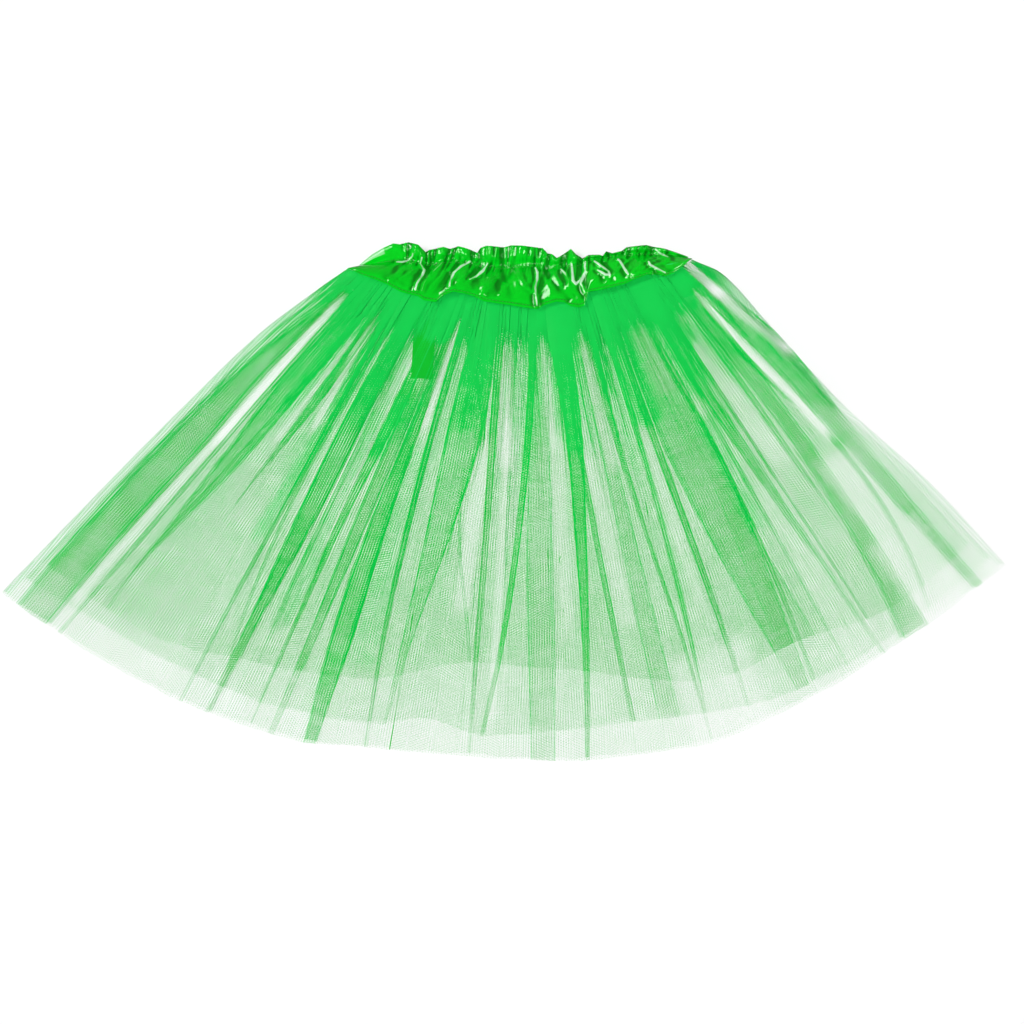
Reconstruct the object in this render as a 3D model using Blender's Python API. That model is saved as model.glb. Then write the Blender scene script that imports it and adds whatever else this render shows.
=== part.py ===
"""A gathered tulle tutu lying flat: three tulle layers and a satin waistband.

The skirt is a fan about one centre point above the waist. Every tulle panel is a ply of
cloth with knife pleats, drawn as a row of cross sections from the waist seam to the hem.
The back panels lie on the surface and the front panels lie on them, layer by layer.
Lengths are in metres and angles in degrees from straight down the middle of the skirt.
"""

from collections import namedtuple
from math import cos, pi, radians, sin

import bmesh
import bpy
from mathutils import Vector

MM = 0.001

# Cloth and clearances
TULLE_WALL = 1.0 * MM
SATIN_WALL = 1.2 * MM
LABEL_WALL = 1.0 * MM
GAP = 0.35 * MM
PLY_PITCH = TULLE_WALL + GAP
LAYER_EASE = 0.1 * MM
LAYER_PITCH = 3 * PLY_PITCH + LAYER_EASE
CENTRE_ROOM = LABEL_WALL + 2 * GAP

# The fan: its centre, its edges and the stations from the waist seam (0) to the hem (1)
FAN_CENTRE = Vector((19.2 * MM, 309.43 * MM))
LEFT_EDGE = -47.2
RIGHT_EDGE = 46.0
STATIONS = (0.0, 0.07, 0.22, 0.46, 0.73, 1.0)

# Pleats
RAMP_START = 1.2 * MM
RAMP = 2.8 * MM
LEAST_PLEAT = 1.7 * MM
PLEAT_CLEAR = 1.6 * MM

# Side folds, where a front panel turns down to its back panel
LAYER_INSET = 4.0 * MM
FoldStep = namedtuple("FoldStep", "inset_mm drop_share")
SIDE_FOLD = (
    FoldStep(0.0, 1.0),
    FoldStep(0.0, 0.45),
    FoldStep(2.6, 0.12),
    FoldStep(8.0, 0.0),
)

# Radius of the waist seam along the fan
Reach = namedtuple("Reach", "angle radius_mm")
WAIST_SEAM = (
    Reach(-47.2, 190), Reach(-35, 177), Reach(-24.6, 167), Reach(-12, 160), Reach(3, 160),
    Reach(15, 160), Reach(26, 164), Reach(36, 170), Reach(46, 177),
)

# Radius of the hems along the fan
OUTER_HEM = (
    Reach(-47.2, 561), Reach(-41.4, 552), Reach(-30.5, 539), Reach(-19, 527), Reach(-14, 518),
    Reach(-5, 511.5), Reach(7, 514.5), Reach(17, 518), Reach(23.3, 514), Reach(37, 511.5),
    Reach(46, 518),
)
MIDDLE_HEM = (
    Reach(-47.2, 541), Reach(-37.7, 524), Reach(-25.5, 513), Reach(-19.5, 506),
    Reach(-14.2, 499), Reach(-9.3, 487), Reach(-4.7, 494), Reach(5, 490), Reach(12, 491),
    Reach(17.6, 498), Reach(25, 504), Reach(38, 504), Reach(46, 507),
)
INNER_HEM = (
    Reach(-47.2, 522), Reach(-39, 513), Reach(-33.4, 505), Reach(-27.6, 489), Reach(-21, 477),
    Reach(-14, 462), Reach(-6.8, 440), Reach(0, 440), Reach(5.4, 445), Reach(18.5, 473),
    Reach(26.8, 470), Reach(36, 486), Reach(46, 488),
)

# How far the two sides of the fan bow outwards, at each station, and how fast that fades inwards
BOW_FADE = 4
Bow = namedtuple("Bow", "station left right")
SIDE_BOW = (
    Bow(0.0, 0.6, 0.8), Bow(0.07, 1.5, 3.0), Bow(0.22, 2.4, 1.8), Bow(0.46, 1.6, 0.5),
    Bow(0.73, 0.7, 0.8), Bow(1.0, 0.0, 0.1),
)

# Pleats of each panel from left to right: the angle of the middle and the width of the fold,
# at the waist seam and at the hem. Lean 1 turns the fold to the right, -1 to the left.
Pleat = namedtuple("Pleat", "seam_angle hem_angle seam_mm hem_mm lean")
OUTER_FRONT_PLEATS = (
    Pleat(-42.6, -44.3, 5.0, 27.0, 1), Pleat(-38.6, -41.2, 5.0, 4.0, 1),
    Pleat(-34.0, -30.6, 6.0, 2.5, 1), Pleat(-29.5, -27.6, 6.0, 10.0, -1),
    Pleat(-24.5, -24.4, 6.5, 3.0, -1), Pleat(-19.8, -18.9, 6.0, 16.0, 1),
    Pleat(-15.6, -14.6, 4.5, 2.5, -1), Pleat(-11.0, -11.2, 6.0, 2.5, -1),
    Pleat(-6.2, -5.4, 6.0, 2.5, 1), Pleat(-1.4, -3.4, 5.0, 3.0, -1),
    Pleat(2.8, 1.4, 5.0, 21.0, -1), Pleat(7.2, 5.4, 5.5, 4.0, 1),
    Pleat(12.4, 12.9, 6.5, 17.0, 1), Pleat(17.6, 16.6, 6.0, 2.5, -1),
    Pleat(24.0, 25.2, 9.0, 11.0, 1), Pleat(30.4, 32.6, 8.0, 3.0, 1),
    Pleat(36.2, 35.7, 7.0, 6.0, -1), Pleat(41.6, 42.9, 5.5, 4.0, -1),
)
MIDDLE_FRONT_PLEATS = (
    Pleat(-41.0, -44.0, 5.0, 22.0, 1), Pleat(-37.0, -38.9, 5.5, 6.0, 1),
    Pleat(-31.8, -31.4, 5.0, 2.5, -1), Pleat(-27.0, -27.6, 8.0, 12.0, -1),
    Pleat(-21.8, -22.2, 5.5, 4.5, -1), Pleat(-17.6, -18.7, 5.0, 15.0, 1),
    Pleat(-11.6, -13.0, 8.5, 3.0, -1), Pleat(-5.0, -5.0, 6.0, 3.0, 1),
    Pleat(1.4, -0.6, 6.0, 3.0, -1), Pleat(7.6, 9.6, 6.5, 4.0, 1),
    Pleat(14.4, 13.4, 6.5, 12.0, 1), Pleat(20.4, 20.0, 6.0, 3.0, 1),
    Pleat(26.6, 26.4, 9.0, 24.0, 1), Pleat(33.4, 33.0, 6.0, 4.0, -1),
    Pleat(39.0, 37.4, 7.0, 8.0, -1),
)
INNER_FRONT_PLEATS = (
    Pleat(-38.5, -42.4, 6.0, 16.0, 1), Pleat(-28.4, -28.4, 7.0, 10.0, -1),
    Pleat(-19.0, -19.8, 6.0, 12.0, 1), Pleat(-11.0, -12.6, 7.0, 4.0, -1),
    Pleat(-3.0, -2.0, 6.0, 4.0, 1), Pleat(6.6, 6.0, 7.0, 4.0, 1),
    Pleat(15.6, 15.2, 6.0, 4.0, -1), Pleat(26.0, 26.8, 9.0, 30.0, 1),
    Pleat(37.0, 37.6, 7.0, 8.0, -1),
)
OUTER_BACK_PLEATS = (
    Pleat(-43.4, -44.8, 5.0, 24.0, -1), Pleat(-36.6, -36.4, 6.0, 3.0, 1),
    Pleat(-30.0, -28.9, 7.0, 8.0, 1), Pleat(-23.2, -23.0, 6.0, 3.0, -1),
    Pleat(-16.8, -17.4, 6.0, 3.0, 1), Pleat(-8.6, -8.6, 6.5, 3.0, -1),
    Pleat(-1.6, -1.2, 6.0, 3.0, 1), Pleat(5.4, 5.8, 6.5, 4.0, 1),
    Pleat(13.0, 13.2, 6.5, 15.0, -1), Pleat(20.8, 20.4, 6.5, 3.0, 1),
    Pleat(28.0, 28.4, 8.5, 12.0, -1), Pleat(35.4, 37.4, 6.5, 5.0, 1),
    Pleat(42.6, 43.6, 5.5, 4.0, 1),
)
MIDDLE_BACK_PLEATS = (
    Pleat(-40.6, -44.6, 6.0, 18.0, 1), Pleat(-31.4, -32.0, 6.5, 3.0, -1),
    Pleat(-22.4, -24.6, 7.0, 4.0, 1), Pleat(-13.6, -14.0, 6.5, 3.0, 1),
    Pleat(-4.4, -6.4, 6.5, 3.0, -1), Pleat(4.8, 5.2, 7.0, 5.0, 1),
    Pleat(14.0, 16.0, 6.5, 4.0, 1), Pleat(24.6, 25.4, 8.0, 12.0, -1),
    Pleat(38.6, 39.4, 7.0, 5.0, 1),
)
INNER_BACK_PLEATS = (
    Pleat(-35.0, -39.0, 6.5, 5.0, 1), Pleat(-24.4, -25.6, 7.0, 6.0, -1),
    Pleat(-14.0, -14.6, 6.5, 4.0, 1), Pleat(-2.4, -3.6, 6.5, 3.0, 1),
    Pleat(8.4, 8.6, 6.5, 4.0, -1), Pleat(20.0, 22.0, 7.0, 5.0, 1),
    Pleat(33.4, 34.0, 7.0, 5.0, -1),
)

# Panels, from the surface upwards. A layer's inset is counted from the outer layer's sides.
Panel = namedtuple("Panel", "name slot inset_steps hem pleats")
BACK_PANELS = (
    Panel("tulle_outer_back", 0, 0, OUTER_HEM, OUTER_BACK_PLEATS),
    Panel("tulle_middle_back", 1, 1, MIDDLE_HEM, MIDDLE_BACK_PLEATS),
    Panel("tulle_inner_back", 2, 2, INNER_HEM, INNER_BACK_PLEATS),
)
FRONT_PANELS = (
    Panel("tulle_inner_front", 3, 2, INNER_HEM, INNER_FRONT_PLEATS),
    Panel("tulle_middle_front", 4, 1, MIDDLE_HEM, MIDDLE_FRONT_PLEATS),
    Panel("tulle_outer_front", 5, 0, OUTER_HEM, OUTER_FRONT_PLEATS),
)

# Waistband: the elastic line across it, the header above and the yoke below
WAIST_LEFT = Vector((-99.8 * MM, 187.43 * MM))
WAIST_RIGHT = Vector((145.2 * MM, 194.43 * MM))
HEADER = 8.5 * MM
YOKE_LAP = 3.0 * MM
SEAM_CLEAR = 0.8 * MM
SATIN_EASE = 0.05 * MM

# Sections of the waistband from the header (-1) past the elastic (0) to the seam (1): how high
# the front strip stands over the back one, and the height of the puffs on each
BandRow = namedtuple("BandRow", "down front_lift_mm front_puff_mm back_puff_mm")
BAND_ROWS = (
    BandRow(-1.0, 4.0, 5.5, 4.5),
    BandRow(-0.45, 4.2, 5.0, 4.5),
    BandRow(0.0, 3.2, 1.6, 1.6),
    BandRow(0.12, 4.6, 2.6, 2.2),
    BandRow(0.38, 11.5, 4.2, 2.6),
    BandRow(0.62, 19.5, 2.8, 1.6),
    BandRow(0.78, 26.4, 0.8, 0.6),
    BandRow(1.0, 26.8, 0.4, 0.0),
)

# Puffs that the elastic gathers, from left to right along the waist, as shares of its length
Puff = namedtuple("Puff", "start end height_share")
PUFFS = (
    Puff(0.09, 0.17, 1.0), Puff(0.17, 0.25, 0.8), Puff(0.25, 0.32, 0.9),
    Puff(0.32, 0.41, 1.0), Puff(0.41, 0.54, 0.9), Puff(0.54, 0.60, 0.7),
    Puff(0.60, 0.66, 0.7), Puff(0.66, 0.75, 1.0), Puff(0.75, 0.80, 0.6),
    Puff(0.80, 0.89, 1.0), Puff(0.89, 0.95, 0.6),
)
PUFF_STEPS = 5

# Care label: a flat strip that hangs from the waist seam between the inner panels
LABEL_TOP = Vector((-60.8 * MM, 154.9 * MM))
LABEL_SIZE = (17.0 * MM, 60.0 * MM)
LABEL_LEAN = 3.0
LABEL_STEPS = (3, 6)

# Creases sharper than this stay sharp in the shading
CREASE_ANGLE = 35

# Colours
TULLE_GREEN = (0.030, 0.620, 0.120, 1.0)
SATIN_GREEN = (0.003, 0.500, 0.040, 1.0)
LABEL_GREEN = (0.010, 0.330, 0.050, 1.0)


def clear_scene():
    for item in list(bpy.data.objects):
        bpy.data.objects.remove(item, do_unlink=True)


def mix(start, end, share):
    return start + (end - start) * share


def smooth_curve(rows, place):
    """Value at a place on the smooth curve through rows of (place, value)."""
    last = len(rows) - 1
    place = min(max(place, rows[0][0]), rows[last][0])
    index = max(i for i in range(last) if rows[i][0] <= place)
    slopes = []
    for i in (index, index + 1):
        before = rows[max(i - 1, 0)]
        after = rows[min(i + 1, last)]
        slopes.append((after[1] - before[1]) / (after[0] - before[0]))
    start, end = rows[index], rows[index + 1]
    span = end[0] - start[0]
    share = (place - start[0]) / span
    rest = 1 - share
    ends = start[1] * rest * rest * (1 + 2 * share) + end[1] * share * share * (1 + 2 * rest)
    bends = slopes[0] * share * rest * rest - slopes[1] * share * share * rest
    return ends + bends * span


def seam_radius(angle):
    return smooth_curve(WAIST_SEAM, angle) * MM


def panel_radius(panel, angle, station):
    hem = smooth_curve(panel.hem, angle) * MM
    return mix(seam_radius(angle), hem, station)


def bowed(angle, station):
    """The angle after the sides of the fan have bowed outwards at this station."""
    left = smooth_curve([(bow.station, bow.left) for bow in SIDE_BOW], station)
    right = smooth_curve([(bow.station, bow.right) for bow in SIDE_BOW], station)
    leftness = max(angle / LEFT_EDGE, 0) ** BOW_FADE
    rightness = max(angle / RIGHT_EDGE, 0) ** BOW_FADE
    return angle - left * leftness + right * rightness


def fan_point(angle, radius):
    return FAN_CENTRE + Vector((sin(radians(angle)), -cos(radians(angle)))) * radius


def slot_floor(slot):
    """Height of the underside of a panel; the front panels leave room for the label."""
    room = CENTRE_ROOM if slot >= len(BACK_PANELS) else 0
    return slot * LAYER_PITCH + room


def pleat_corners(width, lean):
    """Corners of one pleat: distance from its middle along the cloth, and ply level."""
    half = width / 2
    brow = half + RAMP_START
    corners = [(half, 0), (half, 1), (-half, 1), (-half, 2), (brow, 2), (brow + RAMP, 0)]
    if lean < 0:
        corners = [(-offset, level) for offset, level in reversed(corners)]
    return corners


def pleat_places(panel, station):
    """Middle and width of each pleat, held to the room that its neighbours leave."""
    pleats = panel.pleats
    middles = [mix(pleat.seam_angle, pleat.hem_angle, station) for pleat in pleats]
    widths = [mix(pleat.seam_mm, pleat.hem_mm, station) * MM for pleat in pleats]
    for i in range(len(pleats) - 1):
        radius = panel_radius(panel, mix(middles[i], middles[i + 1], 0.5), station)
        ramps = (pleats[i].lean > 0) + (pleats[i + 1].lean < 0)
        room = radians(middles[i + 1] - middles[i]) * radius
        room -= ramps * (RAMP_START + RAMP) + PLEAT_CLEAR
        wanted = (widths[i] + widths[i + 1]) / 2
        if wanted > room:
            widths[i] *= room / wanted
            widths[i + 1] *= room / wanted
    return [(middle, max(width, LEAST_PLEAT)) for middle, width in zip(middles, widths)]


def side_corners(panel, side, station):
    """Corners of a panel's side, from its edge inwards, as (angle, height)."""
    edge = LEFT_EDGE if side < 0 else RIGHT_EDGE
    per_mm = MM / radians(1) / panel_radius(panel, edge, station)
    inset = panel.inset_steps * LAYER_INSET / MM
    level = slot_floor(panel.slot) + TULLE_WALL / 2
    if panel in BACK_PANELS:
        return [(edge - side * inset * per_mm, level)]
    partner = next(back for back in BACK_PANELS if back.inset_steps == panel.inset_steps)
    drop = level - slot_floor(partner.slot) - TULLE_WALL - GAP
    return [(edge - side * (inset + step.inset_mm) * per_mm, level - drop * step.drop_share)
            for step in SIDE_FOLD]


def panel_section(panel, station):
    """The middle of the ply across a panel, from left to right, as (angle, height)."""
    section = side_corners(panel, -1, station)
    level = slot_floor(panel.slot) + TULLE_WALL / 2
    for pleat, (middle, width) in zip(panel.pleats, pleat_places(panel, station)):
        radius = panel_radius(panel, middle, station)
        for offset, ply in pleat_corners(width, pleat.lean):
            section.append((middle + offset / radius / radians(1), level + ply * PLY_PITCH))
    return section + side_corners(panel, 1, station)[::-1]


def ply_side(section, radius, half_wall):
    """A section moved sideways by half a wall, mitred at its corners."""
    flat = [Vector((radians(angle) * radius, height)) for angle, height in section]
    runs = [(after - before).normalized() for before, after in zip(flat, flat[1:])]
    moved = []
    for i, point in enumerate(flat):
        before = runs[max(i - 1, 0)]
        after = runs[min(i, len(runs) - 1)]
        normals = [Vector((-run.y, run.x)) for run in (before, after)]
        mitre = (normals[0] + normals[1]) / (1 + normals[0].dot(normals[1]))
        point = point + mitre * half_wall
        moved.append((point.x / radius / radians(1), point.y))
    return moved


def panel_ring(panel, station):
    """Points round the wall of a panel at one station: its upper side, then its underside."""
    section = panel_section(panel, station)
    radius = panel_radius(panel, 0, station)
    upper = ply_side(section, radius, TULLE_WALL / 2)
    under = ply_side(section, radius, -TULLE_WALL / 2)
    ring = []
    for angle, height in upper + under[::-1]:
        place = fan_point(bowed(angle, station), panel_radius(panel, angle, station))
        ring.append((place.x, place.y, height))
    return ring


def add_object(name, bm, material):
    mesh = bpy.data.meshes.new(name)
    bmesh.ops.recalc_face_normals(bm, faces=bm.faces)
    bm.to_mesh(mesh)
    bm.free()
    mesh.shade_smooth()
    mesh.set_sharp_from_angle(angle=radians(CREASE_ANGLE))
    mesh.materials.append(material)
    item = bpy.data.objects.new(name, mesh)
    bpy.context.scene.collection.objects.link(item)
    return item


def cloth_from_rings(name, rings, material):
    """A closed wall of cloth through rings of upper and under points."""
    bm = bmesh.new()
    grid = [[bm.verts.new(point) for point in ring] for ring in rings]
    count = len(grid[0])
    for near, far in zip(grid, grid[1:]):
        for i in range(count):
            j = (i + 1) % count
            bm.faces.new((near[i], near[j], far[j], far[i]))
    for ring in (grid[0], grid[-1]):
        for i in range(count // 2 - 1):
            bm.faces.new((ring[i], ring[i + 1], ring[count - 2 - i], ring[count - 1 - i]))
    return add_object(name, bm, material)


def cloth_from_rows(name, rows, wall, material):
    """A wall of cloth about the surface through rows of points."""
    bm = bmesh.new()
    grid = [[bm.verts.new(point) for point in row] for row in rows]
    for near, far in zip(grid, grid[1:]):
        for a, b, c, d in zip(near, near[1:], far[1:], far):
            bm.faces.new((a, b, c, d))
    item = add_object(name, bm, material)
    solidify = item.modifiers.new("wall", "SOLIDIFY")
    solidify.thickness = wall
    solidify.offset = 0
    solidify.use_even_offset = True
    return item


def cloth_material(name, colour, roughness):
    material = bpy.data.materials.new(name)
    material.use_nodes = True
    shader = material.node_tree.nodes["Principled BSDF"]
    shader.inputs["Base Color"].default_value = colour
    shader.inputs["Roughness"].default_value = roughness
    shader.inputs["Metallic"].default_value = 0.0
    return material


def make_tulle_panels():
    for panel in BACK_PANELS + FRONT_PANELS:
        material = cloth_material(panel.name, TULLE_GREEN, 0.6)
        rings = [panel_ring(panel, station) for station in STATIONS]
        cloth_from_rings(panel.name, rings, material)


def puff_profile():
    """Places along the waist and how far each has puffed up, from 0 to 1."""
    profile = []
    for puff in PUFFS:
        for step in range(PUFF_STEPS):
            share = step / PUFF_STEPS
            profile.append((mix(puff.start, puff.end, share),
                            puff.height_share * sin(pi * share) ** 2))
    profile.append((PUFFS[-1].end, 0.0))
    return profile


def band_place(along, down, lap):
    """Point of the waistband seen from above; down runs from header over elastic to seam."""
    waist = WAIST_LEFT.lerp(WAIST_RIGHT, along)
    if down <= 0:
        return waist + Vector((0, -down * HEADER))
    angle = mix(LEFT_EDGE, RIGHT_EDGE, along)
    seam = fan_point(bowed(angle, 0), seam_radius(angle) + lap)
    return waist.lerp(seam, down)


def band_section(row, is_front):
    """The satin across the waistband at one row, from its left side fold to its right one.

    The front strip laps over the tulle between its side folds; elsewhere the satin stops
    just short of it.
    """
    floor = SATIN_WALL / 2 + SATIN_EASE
    length = (WAIST_RIGHT - WAIST_LEFT).length
    lift = row.front_lift_mm * MM if is_front else 0
    puff = (row.front_puff_mm if is_front else row.back_puff_mm) * MM
    drop = lift - SATIN_WALL / 2 - GAP
    steps = SIDE_FOLD if is_front else (SIDE_FOLD[0], SIDE_FOLD[-1])
    side = []
    for step in steps:
        height = floor + lift - drop * step.drop_share if is_front else floor
        side.append((step.inset_mm * MM / length, height, -SEAM_CLEAR))
    section = list(side)
    for along, share in puff_profile():
        lap = YOKE_LAP if is_front else -SEAM_CLEAR
        section.append((along, floor + lift + puff * share, lap))
    section += [(1 - along, height, lap) for along, height, lap in reversed(side)]
    points = []
    for along, height, lap in section:
        place = band_place(along, row.down, lap)
        points.append((place.x, place.y, height))
    return points


def make_waistband():
    for name, is_front in (("waistband_back", False), ("waistband_front", True)):
        material = cloth_material(name, SATIN_GREEN, 0.3)
        rows = [band_section(row, is_front) for row in BAND_ROWS]
        cloth_from_rows(name, rows, SATIN_WALL, material)


def make_care_label():
    material = cloth_material("care_label", LABEL_GREEN, 0.5)
    across, down = LABEL_STEPS
    width, length = LABEL_SIZE
    height = len(BACK_PANELS) * LAYER_PITCH + GAP + LABEL_WALL / 2
    lean = Vector((sin(radians(-LABEL_LEAN)), -cos(radians(LABEL_LEAN))))
    side = Vector((-lean.y, lean.x))
    rows = []
    for j in range(down + 1):
        middle = LABEL_TOP + lean * length * j / down
        row = [middle + side * width * (i / across - 0.5) for i in range(across + 1)]
        rows.append([(place.x, place.y, height) for place in row])
    cloth_from_rows("care_label", rows, LABEL_WALL, material)


def main():
    clear_scene()
    make_tulle_panels()
    make_waistband()
    make_care_label()


main()
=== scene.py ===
"""Looks of a gathered tulle tutu that lies flat on a pale floor.

Every tulle panel is a thin shell of net in the space of its solid, with the folds that the
skirt shows. The satin waistband, its ruffled header, the stitching and the blank care label
follow. Lengths are in metres, but for tables that say mm, and angles are in degrees about the
centre of the skirt's fan.
"""

from collections import namedtuple
from math import cos, pi, radians, sin

import bmesh
import bpy
import numpy as np
from mathutils import Matrix, Vector


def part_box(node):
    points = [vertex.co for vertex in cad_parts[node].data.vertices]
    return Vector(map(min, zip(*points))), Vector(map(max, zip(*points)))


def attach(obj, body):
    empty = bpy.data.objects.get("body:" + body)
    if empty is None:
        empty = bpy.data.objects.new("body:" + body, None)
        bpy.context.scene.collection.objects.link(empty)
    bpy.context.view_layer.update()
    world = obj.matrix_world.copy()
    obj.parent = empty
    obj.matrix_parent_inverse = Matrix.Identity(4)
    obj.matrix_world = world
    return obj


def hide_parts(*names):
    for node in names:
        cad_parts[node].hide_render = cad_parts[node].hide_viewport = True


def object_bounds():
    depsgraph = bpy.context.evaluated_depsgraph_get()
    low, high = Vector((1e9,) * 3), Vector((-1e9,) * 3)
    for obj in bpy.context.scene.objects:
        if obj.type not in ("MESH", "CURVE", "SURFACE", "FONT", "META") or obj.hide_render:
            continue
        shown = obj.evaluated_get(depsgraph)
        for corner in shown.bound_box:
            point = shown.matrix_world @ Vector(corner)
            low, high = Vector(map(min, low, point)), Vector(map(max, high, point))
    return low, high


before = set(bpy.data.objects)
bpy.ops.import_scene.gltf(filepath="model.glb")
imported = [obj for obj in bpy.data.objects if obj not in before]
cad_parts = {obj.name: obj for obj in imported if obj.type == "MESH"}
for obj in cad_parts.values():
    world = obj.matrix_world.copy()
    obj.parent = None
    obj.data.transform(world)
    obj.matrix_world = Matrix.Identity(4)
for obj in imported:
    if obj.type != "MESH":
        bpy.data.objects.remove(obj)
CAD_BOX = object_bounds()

bl_info = {
    "name": "Tulle tutu",
    "version": (1, 0, 0),
    "blender": (4, 5, 0),
    "location": "3D View > Sidebar > Tutu",
    "description": "Makes a layered tulle tutu with a ruffled satin waistband, laid flat",
    "category": "Object",
}

MM = 0.001
ROOT = "root"

# The fan: its centre and its two sides
FAN_CENTRE = Vector((19.2 * MM, 309.43 * MM))
LEFT_EDGE = -47.2
RIGHT_EDGE = 46.0

# Radius in mm of the waist seam and of the hems, by angle
WAIST_SEAM = (
    (-47.2, 190), (-35, 177), (-24.6, 167), (-12, 160), (3, 160), (15, 160), (26, 164),
    (36, 170), (46, 177),
)
OUTER_HEM = (
    (-47.2, 561), (-41.4, 552), (-30.5, 539), (-19, 527), (-14, 518), (-5, 511.5), (7, 514.5),
    (17, 518), (23.3, 514), (37, 511.5), (46, 518),
)
MIDDLE_HEM = (
    (-47.2, 541), (-37.7, 524), (-25.5, 513), (-19.5, 506), (-14.2, 499), (-9.3, 487),
    (-4.7, 494), (5, 490), (12, 491), (17.6, 498), (25, 504), (38, 504), (46, 507),
)
INNER_HEM = (
    (-47.2, 522), (-39, 513), (-33.4, 505), (-27.6, 489), (-21, 477), (-14, 462), (-6.8, 440),
    (0, 440), (5.4, 445), (18.5, 473), (26.8, 470), (36, 486), (46, 488),
)

# Degrees by which the two sides of the fan bow outwards between the seam (0) and the hem (1)
BOW_LEFT = ((0.0, 0.6), (0.07, 1.5), (0.22, 2.4), (0.46, 1.6), (0.73, 0.7), (1.0, 0.0))
BOW_RIGHT = ((0.0, 0.8), (0.07, 3.0), (0.22, 1.8), (0.46, 0.5), (0.73, 0.8), (1.0, 0.1))
BOW_FADE = 4

# Side folds of the front panels: how far in from the next layer each one lies, how far it
# rounds in and how much of it stands upright
LAYER_INSET = 4.0 * MM
SIDE_ROUND = 8.0 * MM
SIDE_UPRIGHT = 0.45

# Panels from the floor upwards: code, node, steps in from the outer layer, and hem
Panel = namedtuple("Panel", "code node steps hem is_front")
PANELS = (
    Panel("OB", "tulle_outer_back", 0, OUTER_HEM, False),
    Panel("MB", "tulle_middle_back", 1, MIDDLE_HEM, False),
    Panel("IB", "tulle_inner_back", 2, INNER_HEM, False),
    Panel("IF", "tulle_inner_front", 2, INNER_HEM, True),
    Panel("MF", "tulle_middle_front", 1, MIDDLE_HEM, True),
    Panel("OF", "tulle_outer_front", 0, OUTER_HEM, True),
)
# Thickness of a panel's solid, height of a fold, the share of it at the seam, and how far down
# the panel it is full
WALL = 1.0 * MM
FOLD_HEIGHT = 2.6 * MM
SEAM_RISE = 0.1
RISE_END = 0.2

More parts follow.
